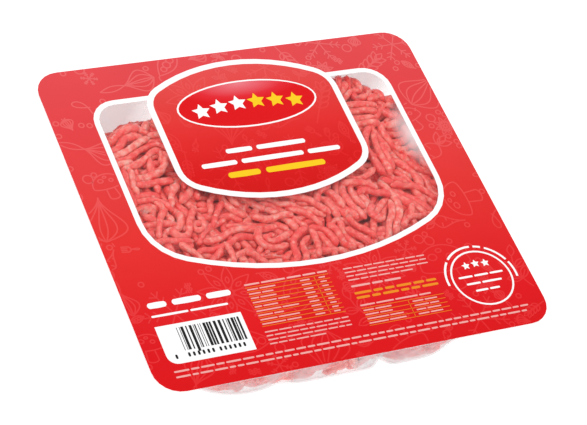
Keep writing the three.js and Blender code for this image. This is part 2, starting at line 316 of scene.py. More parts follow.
@dataclass(frozen=True)
class LiddingFilm(Finish):
    """Clear co-extruded lidding film, cast and stretched tight over the tray.

    The eye sees the meat through it, a faint veil where the film is fogged, the softened reflection of the
    lights, and one white patch of painted reflection.

    Attributes:
        glare_middle: Middle of the white patch that paints a reflection of the lights on the film, in
            millimetres.
        reach: The patch's half width and half height.
    """

    glare_middle: Point = (76.5, 26.0)
    reach: Point = (10.0, 22.0)

    def shade(self, tree: bpy.types.NodeTree) -> bpy.types.NodeSocket:
        """Builds a clear sheet with Fresnel gloss, a veil of a few percent and the white patch of painted
        reflection.
        """
        place = add_node(tree, "TexCoord").outputs["Object"]
        # The film's waves are some 22 mm long, and patches of fog under it 45 mm.
        waves = add_node(tree, "TexNoise", {"Vector": place, "Scale": pattern_scale(22), "Detail": 2.0})
        bump = add_node(tree, "Bump", {"Height": waves.outputs[0], "Strength": 0.2, "Distance": 1.0 * MM})
        fog = add_node(tree, "TexNoise", {"Vector": place, "Scale": pattern_scale(45), "Detail": 3.0})
        veil = add_node(tree, "MapRange", {0: fog.outputs[0], 1: 0.45, 2: 0.75, 3: 0.004, 4: 0.03})
        fresnel = add_node(tree, "Fresnel", {"IOR": 1.3, "Normal": bump.outputs[0]})
        # A white patch fixed on the film paints a reflection of the lights.
        patch = soft_patch(tree, self.glare_middle, self.reach)
        painted_glare = add_node(tree, "MapRange", {0: patch, 1: 0.0, 2: 1.0, 3: 0.0, 4: 0.65})
        veiled = add_node(tree, "Math", {0: veil.outputs[0], 1: painted_glare.outputs[0]}, operation="ADD")
        share = add_node(tree, "Math", {0: veiled.outputs[0], 1: fresnel.outputs[0]}, operation="ADD")
        outer = front_only(tree, share.outputs[0])
        gloss = add_node(
            tree,
            "BsdfPrincipled",
            {
                "Base Color": linear("fdfdfe"),
                "Roughness": 0.16,
                "IOR": 1.5,
                "Normal": bump.outputs[0],
            },
        )
        clear = add_node(tree, "BsdfTransparent")
        mixed = add_node(tree, "MixShader", {0: outer, 1: clear.outputs[0], 2: gloss.outputs[0]})
        return mixed.outputs[0]


@dataclass(frozen=True)
class MilkyTray(Finish):
    """Thermoformed polypropylene sheet, clear but milky, as drawn thin over its mould.

    The eye sees a white veil that thickens where the wall turns away, with a broad satin gleam on the
    fillets and grooves. Inside the back corners, which the meat doesn't touch, a thicker grey veil paints
    the shade under the lid.

    Attributes:
        shaded_corners: Middles of the back corners where shade is painted, each with its half width and half
            height.
        corner_shade: Share of the grey sheet shown there, which paints the shade under the lid.
    """

    shaded_corners: tuple[tuple[Point, Point], ...] = (((-66.0, 84.0), (40.0, 22.0)), ((76.0, 82.0), (34.0, 22.0)))
    corner_shade: float = 0.52

    def shade(self, tree: bpy.types.NodeTree) -> bpy.types.NodeSocket:
        """Builds the veil by facing, a slow unevenness of the sheet and the painted shade in the back
        corners.
        """
        place = add_node(tree, "TexCoord").outputs["Object"]
        # The drawn sheet is uneven over some 15 mm.
        cloud = add_node(tree, "TexNoise", {"Vector": place, "Scale": pattern_scale(15), "Detail": 2.0})
        bump = add_node(tree, "Bump", {"Height": cloud.outputs[0], "Strength": 0.2, "Distance": 0.8 * MM})
        facing = add_node(tree, "LayerWeight", {"Blend": 0.35})
        veil = add_node(tree, "MapRange", {0: facing.outputs[1], 1: 0.0, 2: 1.0, 3: -0.02, 4: 0.8})
        drawn = add_node(tree, "MapRange", {0: cloud.outputs[0], 1: 0.36, 2: 0.64, 3: -0.16, 4: 0.2})
        clouded = add_node(
            tree,
            "Math",
            {0: veil.outputs[0], 1: drawn.outputs[0]},
            operation="ADD",
            use_clamp=True,
        )
        # A thicker grey veil in the back corners paints the shade under the lid.
        patches = [soft_patch(tree, middle, reach) for middle, reach in self.shaded_corners]
        both = add_node(tree, "Math", {0: patches[0], 1: patches[1]}, operation="ADD")
        painted_corner_shade = add_node(tree, "MapRange", {0: both.outputs[0], 1: 0.0, 2: 0.6, 3: 0.0, 4: 1.0})
        share = add_node(
            tree,
            "MapRange",
            {0: painted_corner_shade.outputs[0], 1: 0.0, 2: 1.0, 3: clouded.outputs[0], 4: self.corner_shade},
        )
        shell = add_node(
            tree,
            "BsdfPrincipled",
            {
                "Base Color": linear("d3d6d8"),
                "Roughness": 0.24,
                "IOR": 1.49,
                "Normal": bump.outputs[0],
            },
        )
        clear = add_node(tree, "BsdfTransparent")
        outer = front_only(tree, share.outputs[0])
        mixed = add_node(tree, "MixShader", {0: outer, 1: clear.outputs[0], 2: shell.outputs[0]})
        return mixed.outputs[0]


@dataclass(frozen=True)
class MincedBeef(Finish):
    """Raw beef pressed through a 4 mm grinder plate.

    The eye sees moist pink strands, paler where fat and sinew run along them, deeper red where they
    are lean, with small soft glints.

    Attributes:
        depth: Share of a deeper red that paints the shade, from 0 for the strands in the light to 1 for the
            meat deep in the heap.
    """

    depth: float = 0.0

    def shade(self, tree: bpy.types.NodeTree) -> bpy.types.NodeSocket:
        """Builds the lean's colour, its fat, the strands' own tones, the deeper red of painted shade and
        their moist skin.
        """
        place = add_node(tree, "TexCoord").outputs["Object"]
        tone = add_node(tree, "Attribute", attribute_name=StrandMesher.TONE)
        # Streaks of fat in the lean are some 2.4 mm long.
        grain = add_node(tree, "TexNoise", {"Vector": place, "Scale": pattern_scale(2.4), "Detail": 4.0})
        streaks = add_node(tree, "MapRange", {0: grain.outputs[0], 1: 0.3, 2: 0.7})
        mixed = add_node(tree, "Math", {0: tone.outputs["Fac"], 1: streaks.outputs[0]}, operation="ADD")
        share = add_node(tree, "MapRange", {0: mixed.outputs[0], 1: 0.2, 2: 1.8})
        lean = add_node(tree, "ValToRGB", {0: share.outputs[0]})
        set_ramp(lean, ((0.0, "f03b3b"), (0.4, "f95f59"), (0.65, "ff867b"), (1.0, "ffbaad")))
        # Flecks of fat stand 3.4 mm apart, in patches some 9 mm across.
        flecks = add_node(tree, "TexVoronoi", {"Vector": place, "Scale": pattern_scale(3.4)})
        fleck = add_node(tree, "MapRange", {0: flecks.outputs["Distance"], 1: 0.1, 2: 0.32, 3: 0.55, 4: 0.0})
        sparse = add_node(tree, "TexNoise", {"Vector": place, "Scale": pattern_scale(9), "Detail": 1.0})
        gate = add_node(tree, "MapRange", {0: sparse.outputs[0], 1: 0.5, 2: 0.62})
        fat = add_node(tree, "Math", {0: fleck.outputs[0], 1: gate.outputs[0]}, operation="MULTIPLY")
        marbled = add_node(
            tree,
            "Mix",
            {0: fat.outputs[0], 6: lean.outputs[0], 7: linear("fdcbbd")},
            data_type="RGBA",
        )
        # A deeper red paints the shade on meat deep in the gaps between the strands.
        painted_shade_mix = add_node(
            tree,
            "Mix",
            {0: self.depth, 6: marbled.outputs[2], 7: linear("e03634")},
            data_type="RGBA",
        )
        # Muscle fibres are finer than this, and are drawn 0.9 mm coarse so that they show.
        fibre = add_node(tree, "TexNoise", {"Vector": place, "Scale": pattern_scale(0.9), "Detail": 3.0})
        bump = add_node(tree, "Bump", {"Height": fibre.outputs[0], "Strength": 0.6, "Distance": 0.4 * MM})
        shader = add_node(
            tree,
            "BsdfPrincipled",
            {
                "Base Color": painted_shade_mix.outputs[2],
                "Roughness": 0.42,
                "IOR": 1.4,
                "Subsurface Weight": 0.5,
                "Subsurface Radius": (1.0, 0.3, 0.2),
                "Subsurface Scale": 1.1 * MM,
                "Coat Weight": 0.35,
                "Coat Roughness": 0.18,
                "Normal": bump.outputs[0],
            },
        )
        return shader.outputs[0]


@dataclass(frozen=True)
class PaleFloor(Finish):
    """Matt white backdrop paper on a light table, so the eye sees only a faint contact shadow."""

    def shade(self, tree: bpy.types.NodeTree) -> bpy.types.NodeSocket:
        """Builds a plain matt white."""
        paper = {"Base Color": linear("929292"), "Roughness": 0.9, "Emission Color": linear("ffffff")}
        shader = add_node(tree, "BsdfPrincipled", {**paper, "Emission Strength": 0.9})
        return shader.outputs[0]


# Colours of the print from the lid's bottom edge to its top edge, and of the panel likewise, growing paler
# towards the top as painted sheen of the light on the varnish.
RED_STOPS = (
    (0.0, "da0008"),
    (0.1, "dd030f"),
    (0.23, "e0151a"),
    (0.47, "e32e2b"),
    (0.63, "e3393a"),
    (0.8, "e33e42"),
    (1.0, "e3474c"),
)
PALE_STOPS = ((0.0, "e32427"), (0.23, "e63134"), (0.47, "e94946"), (0.63, "ea5454"), (1.0, "ea6466"))
SHIELD_STOPS = ((0.0, "d10101"), (0.2, "db080a"), (0.45, "e12222"), (0.7, "e23835"), (1.0, "e54d4c"))
SHIELD_PALE_STOPS = ((0.0, "d71515"), (0.2, "e01b1d"), (0.45, "e52f2f"), (0.7, "e64341"), (1.0, "e95857"))

# Height of the panel's print along Y, which its colours span.
PANEL_SPAN = (3.8, 84.4)

FILM = LiddingFilm("clear lidding film")
# The wide red field and the panel glow a little unevenly. What is printed on them is even.
RED = GravureInk("red gravure ink", RED_STOPS)
PALE_RED = GravureInk("pale red gravure ink", PALE_STOPS, mottle=0.0)
SHIELD_RED = GravureInk("red panel ink", SHIELD_STOPS, span=PANEL_SPAN)
SHIELD_PALE = GravureInk("pale red panel ink", SHIELD_PALE_STOPS, span=PANEL_SPAN, mottle=0.0)
WHITE = GravureInk("white gravure ink", ((0.0, "fdfdfd"), (1.0, "ffffff")), mottle=0.0)
# The red shines through where the ink is thin.
THIN_WHITE = GravureInk("thin white gravure ink", ((0.0, "f0a8a3"), (1.0, "f4b4b0")), mottle=0.0)
THIN_YELLOW = GravureInk("thin yellow gravure ink", ((0.0, "ee8c1c"), (1.0, "ee8c1c")), mottle=0.0)
YELLOW = GravureInk("yellow gravure ink", ((0.0, "fbc60c"), (1.0, "fdd01c")), mottle=0.0)
ORANGE = GravureInk("orange gravure ink", ((0.0, "ee7717"), (1.0, "f08a1e")), mottle=0.0)
BLACK = GravureInk("black gravure ink", ((0.0, "1d1b1b"), (1.0, "1d1b1b")), mottle=0.0)
TRAY = MilkyTray("milky polypropylene")
BEEF = MincedBeef("minced beef")
# The meat in the gaps takes a deeper red, a painted shade.
SHADED_BEEF = MincedBeef("minced beef deep in the heap", depth=0.45)
FLOOR = PaleFloor("white backdrop paper")


def lone_selection(piece: bpy.types.Object) -> None:
    """Selects one object alone and makes it active."""
    bpy.ops.object.select_all(action="DESELECT")
    piece.select_set(True)
    bpy.context.view_layer.objects.active = piece


def mesh_piece(name: str, vertices: np.ndarray, faces: Sequence[Sequence[int]]) -> bpy.types.Object:
    """Makes a mesh object of arrays.

    Args:
        name: The piece's name.
        vertices: One row for each vertex, in millimetres.
        faces: The vertex numbers of each face.

    Returns:
        The object, linked to the scene at the origin.
    """
    mesh = bpy.data.meshes.new(name)
    mesh.from_pydata((np.asarray(vertices, float) * MM).tolist(), [], [list(f) for f in faces])
    piece = bpy.data.objects.new(name, mesh)
    bpy.context.scene.collection.objects.link(piece)
    return piece


def apply_modifier(piece: bpy.types.Object, kind: str, **settings) -> None:
    """Adds a modifier with its settings and applies it.

    Args:
        piece: The object.
        kind: The modifier's type.
        **settings: Properties of the modifier.
    """
    lone_selection(piece)
    modifier = piece.modifiers.new(kind.title(), kind)
    for name, value in settings.items():
        setattr(modifier, name, value)
    bpy.ops.object.modifier_apply(modifier=modifier.name)


def extruded_rings(name: str, rings: Sequence[np.ndarray]) -> bpy.types.Object:
    """Extrudes a ring of edges through a stack of rings, as by hand, ring after ring.

    Args:
        name: The piece's name.
        rings: Arrays of the same number of points, in millimetres.

    Returns:
        The open-ended shell, still in edit mode, with its last ring selected.
    """
    bpy.ops.object.select_all(action="DESELECT")
    bpy.ops.mesh.primitive_circle_add(vertices=len(rings[0]), radius=1.0)
    piece = bpy.context.object
    piece.name = name
    bpy.ops.object.mode_set(mode="EDIT")
    bm = bmesh.from_edit_mesh(piece.data)
    number = bm.verts.layers.int.new("number")
    for k, vertex in enumerate(bm.verts):
        vertex[number] = k
        vertex.co = Vector(rings[0][k]) * MM
    bmesh.update_edit_mesh(piece.data)
    bpy.ops.mesh.select_all(action="SELECT")
    for ring in rings[1:]:
        bpy.ops.mesh.extrude_edges_move()
        bm = bmesh.from_edit_mesh(piece.data)
        number = bm.verts.layers.int["number"]
        for vertex in bm.verts:
            if vertex.select:
                vertex.co = Vector(ring[vertex[number]]) * MM
        bmesh.update_edit_mesh(piece.data)
    return piece


@dataclass(frozen=True)
class Groove:
    """A groove pressed into a wall: its place, its depth and its half width at 1/e of the depth."""

    at: float
    depth: float
    width: float


@dataclass(frozen=True)
class TrayForm:
    """The tray's form in millimetres, to the sheet's outer face, as the CAD part has it.

    Attributes:
        mouth: Half width, half height and corner radius where the wall meets the rim.
        base: The same where the wall meets the floor.
        fillet: Radius between wall and floor.
        wall_top: Height where the wall turns out into the rim.
        long_grooves: Grooves of the front and back walls.
        short_grooves: Grooves of the side walls.
    """

    mouth: Outline = (88.5, 83.7, 22.0)
    base: Outline = (83.5, 80.0, 40.0)
    fillet: float = 5.5
    wall_top: float = 36.4
    long_grooves: tuple[Groove, ...] = (Groove(-28, 1.8, 7.0), Groove(25, 4.5, 3.6))
    short_grooves: tuple[Groove, ...] = (Groove(-20, 3.0, 4.0), Groove(20, 3.0, 4.0))

    @staticmethod
    def dent(grooves: Iterable[Groove], place: np.ndarray, widened: float) -> np.ndarray:
        """Adds up how deep the grooves are at places along a wall, each widened by a factor."""
        return sum(g.depth * np.exp(-(((place - g.at) / (g.width * widened)) ** 2)) for g in grooves)

    def outline(
        self,
        size: Outline,
        grooved: float,
        straight: int = 60,
        corner: int = 14,
        widened: float = 1.0,
    ) -> np.ndarray:
        """Draws a rounded rectangle with the grooves' dents, anticlockwise from the front left.

        Args:
            size: Half width, half height and corner radius.
            grooved: Share of the grooves' depth.
            straight: Steps along each straight wall.
            corner: Steps round each corner.
            widened: How much wider than true the dents are.

        Returns:
            One row of x and y for each point.
        """
        x, y, radius = size
        share = np.linspace(-1, 1, straight + 1)
        turn = np.linspace(0, math.pi / 2, corner + 1)[1:-1]
        along_x = share * (x - radius)
        along_y = share * (y - radius)
        depth_x = y - grooved * self.dent(self.long_grooves, along_x, widened)
        depth_y = x - grooved * self.dent(self.short_grooves, along_y, widened)
        parts = []
        for quarter, (along, depth) in enumerate(
            ((along_x, depth_x), (along_y, depth_y), (along_x, depth_x[::-1]), (along_y, depth_y[::-1]))
        ):
            ends = (x, y) if quarter % 2 == 0 else (y, x)
            wall = np.column_stack((along, -depth))
            bend = np.column_stack(
                (ends[0] - radius + radius * np.sin(turn), -(ends[1] - radius) - radius * np.cos(turn))
            )
            parts.append(self._quarter_turned(np.vstack((wall, bend)), quarter))
        return np.vstack(parts)

    @staticmethod
    def _quarter_turned(points: np.ndarray, quarters: int) -> np.ndarray:
        """Turns points anticlockwise about the origin by whole quarters."""
        for _ in range(quarters):
            points = np.column_stack((-points[:, 1], points[:, 0]))
        return points

    def size_at(self, height: float, inset: float) -> tuple[Outline, float]:
        """Finds the wall's outline at a height.

        Args:
            height: Above the underside.
            inset: How far inside the outer face.

        Returns:
            The outline's size, and the share of the grooves' depth there.
        """
        share = min(max((height - self.fillet) / (self.wall_top - self.fillet), 0.0), 1.0)
        size = [low + (high - low) * share for low, high in zip(self.base, self.mouth)]
        if height < self.fillet:
            drop = 1 - height / self.fillet
            size = [s - self.fillet * (1 - math.sqrt(max(1 - drop**2, 0))) for s in size]
        return tuple(s - inset for s in size), 1 - share**2


@dataclass
class ClearTray:
    """The thermoformed tray: flat floor, fluted drafted walls and a flat rim that the film seals to.

    Attributes:
        form: Its outer form.
        sheet: Thickness of the drawn sheet.
        rim: Half width, half height and corner radius of the rim's edge.
        rim_under: Height of the rim's lower face.
        rim_gap: Room left under the film, so that no two faces lie in one plane.
        floor_shares: Sizes of the rings that the floor is drawn with, as shares of its edge.
        bend_degrees: Places of the rings round the fillet between floor and wall.
        wall_rings: Number of rings up the wall.
        rim_degrees: Places of the rings round the fillet between wall and rim.
        smooth_degrees: Bends sharper than this are shown as edges.
    """

    form: TrayForm = field(default_factory=TrayForm)
    sheet: float = 0.7
    rim: Outline = (99.9, 92.65, 12.4)
    rim_under: float = 38.0
    rim_gap: float = 0.06
    floor_shares: tuple[float, ...] = (0.3, 0.75, 0.93)
    bend_degrees: tuple[int, ...] = (0, 18, 36, 54, 72, 90)
    wall_rings: int = 10
    rim_degrees: tuple[int, ...] = (30, 60, 90)
    smooth_degrees: int = 40

    def build(self) -> bpy.types.Object:
        """Builds and dresses the tray.

        Returns:
            The tray.
        """
        form = self.form
        rings = []
        for share in self.floor_shares:
            size, grooved = form.size_at(0.0, 0.0)
            ring = form.outline(size, grooved) * share
            rings.append(np.column_stack((ring, np.zeros(len(ring)))))
        bend = [form.fillet * (1 - math.cos(math.radians(a))) for a in self.bend_degrees]
        climb = np.linspace(form.fillet, form.wall_top, self.wall_rings + 1)[1:]
        for height in [*bend, *climb]:
            size, grooved = form.size_at(height, 0.0)
            ring = form.outline(size, grooved)
            rings.append(np.column_stack((ring, np.full(len(ring), height))))
        for size, height in self._rim_stations():
            ring = form.outline(size, 0.0)
            rings.append(np.column_stack((ring, np.full(len(ring), height))))
        tray = extruded_rings("clear_tray", rings)
        self._close_floor(tray)
        apply_modifier(tray, "SOLIDIFY", thickness=self.sheet * MM, offset=-1.0, use_even_offset=True)
        bpy.ops.object.shade_smooth_by_angle(angle=math.radians(self.smooth_degrees))
        TRAY.dress(tray)
        return tray

    def _rim_stations(self) -> list[tuple[Outline, float]]:
        """Lists the outlines from the wall's top over the rim's fillet to its edge, with heights."""
        under = self.rim_under - self.rim_gap
        x, y, corner = self.form.mouth
        reach = under - self.form.wall_top
        stations = []
        for degrees in self.rim_degrees:
            out = reach * (1 - math.cos(math.radians(degrees)))
            height = self.form.wall_top + reach * math.sin(math.radians(degrees))
            stations.append(((x + out, y + out, corner + out), height))
        middle = tuple((a + b) / 2 for a, b in zip(stations[-1][0], self.rim))
        return [*stations, (middle, under), (self.rim, under)]

    @staticmethod
    def _close_floor(tray: bpy.types.Object) -> None:
        """Fills the floor's middle and turns every face outwards.

        Args:
            tray: The shell, in edit mode.
        """
        bpy.ops.mesh.select_mode(type="EDGE")
        bpy.ops.mesh.select_all(action="DESELECT")
        bm = bmesh.from_edit_mesh(tray.data)
        for edge in bm.edges:
            edge.select_set(edge.is_boundary and edge.verts[0].co.z < 0.1 * MM)
        bmesh.update_edit_mesh(tray.data)
        bpy.ops.mesh.extrude_edges_move()
        bpy.ops.mesh.merge(type="CENTER")
        bpy.ops.mesh.select_all(action="SELECT")
        bpy.ops.mesh.normals_make_consistent(inside=False)
        floor = min(bmesh.from_edit_mesh(tray.data).faces, key=lambda face: face.calc_center_median().z)
        if floor.normal.z > 0:
            bpy.ops.mesh.flip_normals()
        bpy.ops.mesh.select_mode(type="VERT")
        bpy.ops.object.mode_set(mode="OBJECT")


@dataclass
class StrandMesher:
    """Sweeps round strands along paths and gathers them into one mesh.

    Attributes:
        sides: Faces round a strand.
        lump: How much a strand's girth wanders.
        closest: Least distance between two points of a path, in millimetres.
        fewest: Points that a path needs.
        ends: Shares of the girth at a strand's first point from each end and at the next.
        tip: How far the rounded ends stand out, as a share of the radius.
        swell_every: Points from one swelling of a strand to the next.
        tone_wander: How much the tone wanders from point to point.
    """

    TONE = "strand_tone"

    sides: int = 7
    lump: float = 0.09
    closest: float = 0.3
    fewest: int = 5
    ends: Point = (0.5, 0.86)
    tip: float = 0.35
    swell_every: int = 4
    tone_wander: float = 0.08

    def __post_init__(self) -> None:
        """Starts with nothing gathered."""
        self.vertices: list[np.ndarray] = []
        self.faces: list[np.ndarray] = []
        self.tones: list[np.ndarray] = []
        self.count = 0

    def sweep(
        self, path: np.ndarray, up: np.ndarray, radius: float, tone: float, rng: np.random.Generator
    ) -> None:
        """Adds one strand.

        Args:
            path: Its centre line, one row for each point, in millimetres.
            up: The direction away from what it lies on, at each point.
            radius: Of the strand.
            tone: From 0 for lean to 1 for pale.
            rng: Source of the girth's unevenness.
        """
        apart = np.linalg.norm(np.diff(path, axis=0), axis=1) > self.closest
        path, up = (rows[np.concatenate(([True], apart))] for rows in (path, up))
        if len(path) < self.fewest:
            return
        along = np.gradient(path, axis=0)
        along /= np.linalg.norm(along, axis=1, keepdims=True)
        side = np.cross(along, up)
        side /= np.linalg.norm(side, axis=1, keepdims=True)
        over = np.cross(side, along)
        steps = len(path)
        taper = np.ones(steps)
        taper[[0, -1]], taper[[1, -2]] = self.ends
        angle = np.linspace(0, 2 * math.pi, self.sides, endpoint=False)
        girth = 1 + self.lump * rng.standard_normal((steps, self.sides)) * 0.5
        knots = np.arange(0, steps + self.swell_every, self.swell_every)
        swell = 1 + self.lump * np.interp(np.arange(steps), knots, rng.standard_normal(len(knots)))
        reach = radius * taper[:, None] * girth * swell[:, None]
        ring = (
            path[:, None, :]
            + (reach * np.cos(angle))[:, :, None] * side[:, None, :]
            + (reach * np.sin(angle))[:, :, None] * over[:, None, :]
        ).reshape(-1, 3)
        tip = self.tip * radius
        tips = np.vstack((path[0] - tip * along[0], path[-1] + tip * along[-1]))
        self._gather(ring, tips, steps, tone, rng)

    def _gather(
        self, ring: np.ndarray, tips: np.ndarray, steps: int, tone: float, rng: np.random.Generator
    ) -> None:
        """Adds a strand's points, its quads and the fans that close its ends.

        Args:
            ring: The points of all its rings.
            tips: The point of each end.
            steps: Number of rings.
            tone: From 0 for lean to 1 for pale.
            rng: Source of the tone's unevenness.
        """
        sides = self.sides
        base = self.count
        row = np.arange(steps - 1)[:, None] * sides
        here = np.arange(sides)[None, :]
        there = (np.arange(sides)[None, :] + 1) % sides
        quads = np.stack((row + here, row + there, row + sides + there, row + sides + here), axis=-1)
        self.faces.append(quads.reshape(-1, 4) + base)
        last = (steps - 1) * sides
        start, end = steps * sides, steps * sides + 1
        fan = [[start, (k + 1) % sides, k, k] for k in range(sides)]
        fan += [[end, last + k, last + (k + 1) % sides, last + (k + 1) % sides] for k in range(sides)]
        self.faces.append(np.array(fan) + base)
        self.vertices.append(np.vstack((ring, tips)))
        count = len(ring) + len(tips)
        self.tones.append(np.full(count, tone) + self.tone_wander * rng.standard_normal(count))
        self.count += count

    def piece(self, name: str) -> bpy.types.Object:
        """Makes one object of all the strands gathered.

        Args:
            name: Of the piece.

        Returns:
            The object.
        """
        faces = [[*dict.fromkeys(face)] for face in np.vstack(self.faces).tolist()]
        made = mesh_piece(name, np.vstack(self.vertices), faces)
        tone = made.data.attributes.new(self.TONE, "FLOAT", "POINT")
        tone.data.foreach_set("value", np.concatenate(self.tones).astype(np.float32))
        lone_selection(made)
        bpy.ops.object.shade_smooth()
        return made


@dataclass
class StrandBed:
    """A bed that strands are laid on one after another, each over what lies there already.

    The bed is a map of heights over a flat sheet of u and v. Its owner says where on the pack a place
    of the sheet lies.

    Attributes:
        low: Lowest u and v, in millimetres.
        high: Highest u and v.
        ground: Height of the bare bed at u and v.
        ceiling: Height that the meat rises to, at u and v.
        rng: Source of all chance.
        wraps: Whether u joins up round the pack.
        cell: Width of the map's cells, in millimetres.
        squash: How far a strand's centre line lies over what carries it, as a share of its radius.
        drape: Percentile of the heights under a strand that it rests on.
        spare: How far a strand's back may stand over the ceiling, in millimetres.
        level: How far under the ceiling the strands end that are laid now, in millimetres.
        fewest: Points that a laid strand needs.
        tuck: Points by which each end dives under what is in its way.
    """

    # How much less a strand rests on what lies off its centre line, for its roundness.
    ROUNDNESS = 0.45
    # Points at each side over whose highest place a strand bridges, and how stiffly it does.
    BRIDGE = 2
    STIFFNESS = 0.3
    # Weights that take the sharp bends out of a strand's line.
    SMOOTHING = np.hanning(11)[1:-1] / np.hanning(11)[1:-1].sum()
    # How far a strand may be pressed down into its room, as a share of its radius.
    PRESS = 0.25
    # Lack of meat at a place where no strand may start.
    NO_LACK = -1e9

    low: Point
    high: Point
    ground: Callable[[np.ndarray, np.ndarray], np.ndarray]
    ceiling: Callable[[np.ndarray, np.ndarray], np.ndarray]
    rng: np.random.Generator
    wraps: bool = False
    cell: float = 0.8
    squash: float = 0.42
    drape: float = 80.0
    spare: float = 2.2
    level: float = 0.0
    fewest: int = 8
    tuck: int = 2

    def __post_init__(self) -> None:
        """Lays out the map of heights."""
        self.shape = tuple(int((b - a) / self.cell) + 1 for a, b in zip(self.low, self.high))
        u, v = (np.linspace(self.low[k], self.high[k], self.shape[k]) for k in (0, 1))
        u, v = np.meshgrid(u, v, indexing="ij")
        self.height = self.ground(u, v)
        self.goal = self.ceiling(u, v)

    def cells(self, u: np.ndarray, v: np.ndarray) -> tuple[np.ndarray, np.ndarray]:
        """Finds the map's cells of places on the sheet.

        Args:
            u: Places on the sheet.
            v: The same.

        Returns:
            Row and column of each place's cell.
        """
        i = np.rint((u - self.low[0]) / self.cell).astype(int)
        j = np.rint((v - self.low[1]) / self.cell).astype(int)
        i = i % self.shape[0] if self.wraps else np.clip(i, 0, self.shape[0] - 1)
        return i, np.clip(j, 0, self.shape[1] - 1)

    def barest(self, tries: int, inside: Callable[[np.ndarray, np.ndarray], np.ndarray]) -> Point:
        """Picks, of some chance places, the one that most lacks meat.

        Args:
            tries: Number of places.
            inside: Tells where a strand may start.

        Returns:
            The place.
        """
        u = self.rng.uniform(self.low[0], self.high[0], tries)
        v = self.rng.uniform(self.low[1], self.high[1], tries)
        i, j = self.cells(u, v)
        lack = np.where(inside(u, v), self.goal[i, j] - self.height[i, j], self.NO_LACK)
        best = int(np.argmax(lack))
        return float(u[best]), float(v[best])

    def lay(self, u: np.ndarray, v: np.ndarray, radius: float) -> tuple[np.ndarray, ...] | None:
        """Lays the longest part of a strand that has room, and raises the map under it.

        The part's ends dive under what is in their way.

        Args:
            u: Places of its points, about a millimetre apart.
            v: The same.
            radius: Of the strand.

        Returns:
            The part's places and the height of its centre line at each, or None where it has no room.
        """
        reach = int(math.ceil(radius / self.cell))
        offset = np.arange(-reach, reach + 1) * self.cell
        du, dv = (a.ravel() for a in np.meshgrid(offset, offset, indexing="ij"))
        near = np.hypot(du, dv) <= radius
        du, dv = du[near], dv[near]
        i, j = self.cells(u[:, None] + du, v[:, None] + dv)
        spread = np.hypot(du, dv)
        fit = self.height[i, j] - self.ROUNDNESS * spread**2 / radius
        centre = self.bridged(np.percentile(fit, self.drape, axis=1)) + self.squash * radius
        most = self.goal[self.cells(u, v)] - self.level + self.spare - radius
        kept = self.longest_run(centre <= most + self.PRESS * radius)
        if kept.stop - kept.start < self.fewest:
            return None
        kept = slice(max(kept.start - self.tuck, 0), kept.stop + self.tuck)
        centre = np.minimum(centre, most)[kept]
        dome = centre[:, None] + np.sqrt(np.maximum(radius**2 - spread**2, 0))[None, :]
        np.maximum.at(self.height, (i[kept], j[kept]), dome)
        return u[kept], v[kept], centre

    def bridged(self, under: np.ndarray) -> np.ndarray:
        """Lets a strand's line bridge the gaps under it and takes out its sharp bends.

        Args:
            under: Height under each of its points.

        Returns:
            The line's height over each point.
        """
        pad = np.pad(under, self.BRIDGE, mode="edge")
        highest = np.max([pad[k : k + len(under)] for k in range(2 * self.BRIDGE + 1)], axis=0)
        carried = self.STIFFNESS * highest + (1 - self.STIFFNESS) * under
        pad = np.pad(carried, len(self.SMOOTHING) // 2, mode="edge")
        return np.convolve(pad, self.SMOOTHING, mode="valid")

    @staticmethod
    def longest_run(fits: np.ndarray) -> slice:
        """Finds the longest unbroken run of points that fit.

        Args:
            fits: Whether each point fits.

        Returns:
            The run.
        """
        edges = np.flatnonzero(np.diff(np.concatenate(([0], fits.astype(int), [0]))))
        if not len(edges):
            return slice(0, 0)
        runs = edges.reshape(-1, 2)
        start, stop = runs[np.argmax(runs[:, 1] - runs[:, 0])]
        return slice(int(start), int(stop))


@dataclass(frozen=True)
class Layer:
    """A layer of strands over the heap's core.

    Attributes:
        name: Of its piece.
        picks: How many bundles are tried.
        deepest: How far under the heap's top the first of them end, in millimetres.
        shallowest: The same for the last.
        fewest: Points that a laid strand needs.
    """

    name: str
    picks: int
    deepest: float
    shallowest: float
    fewest: int


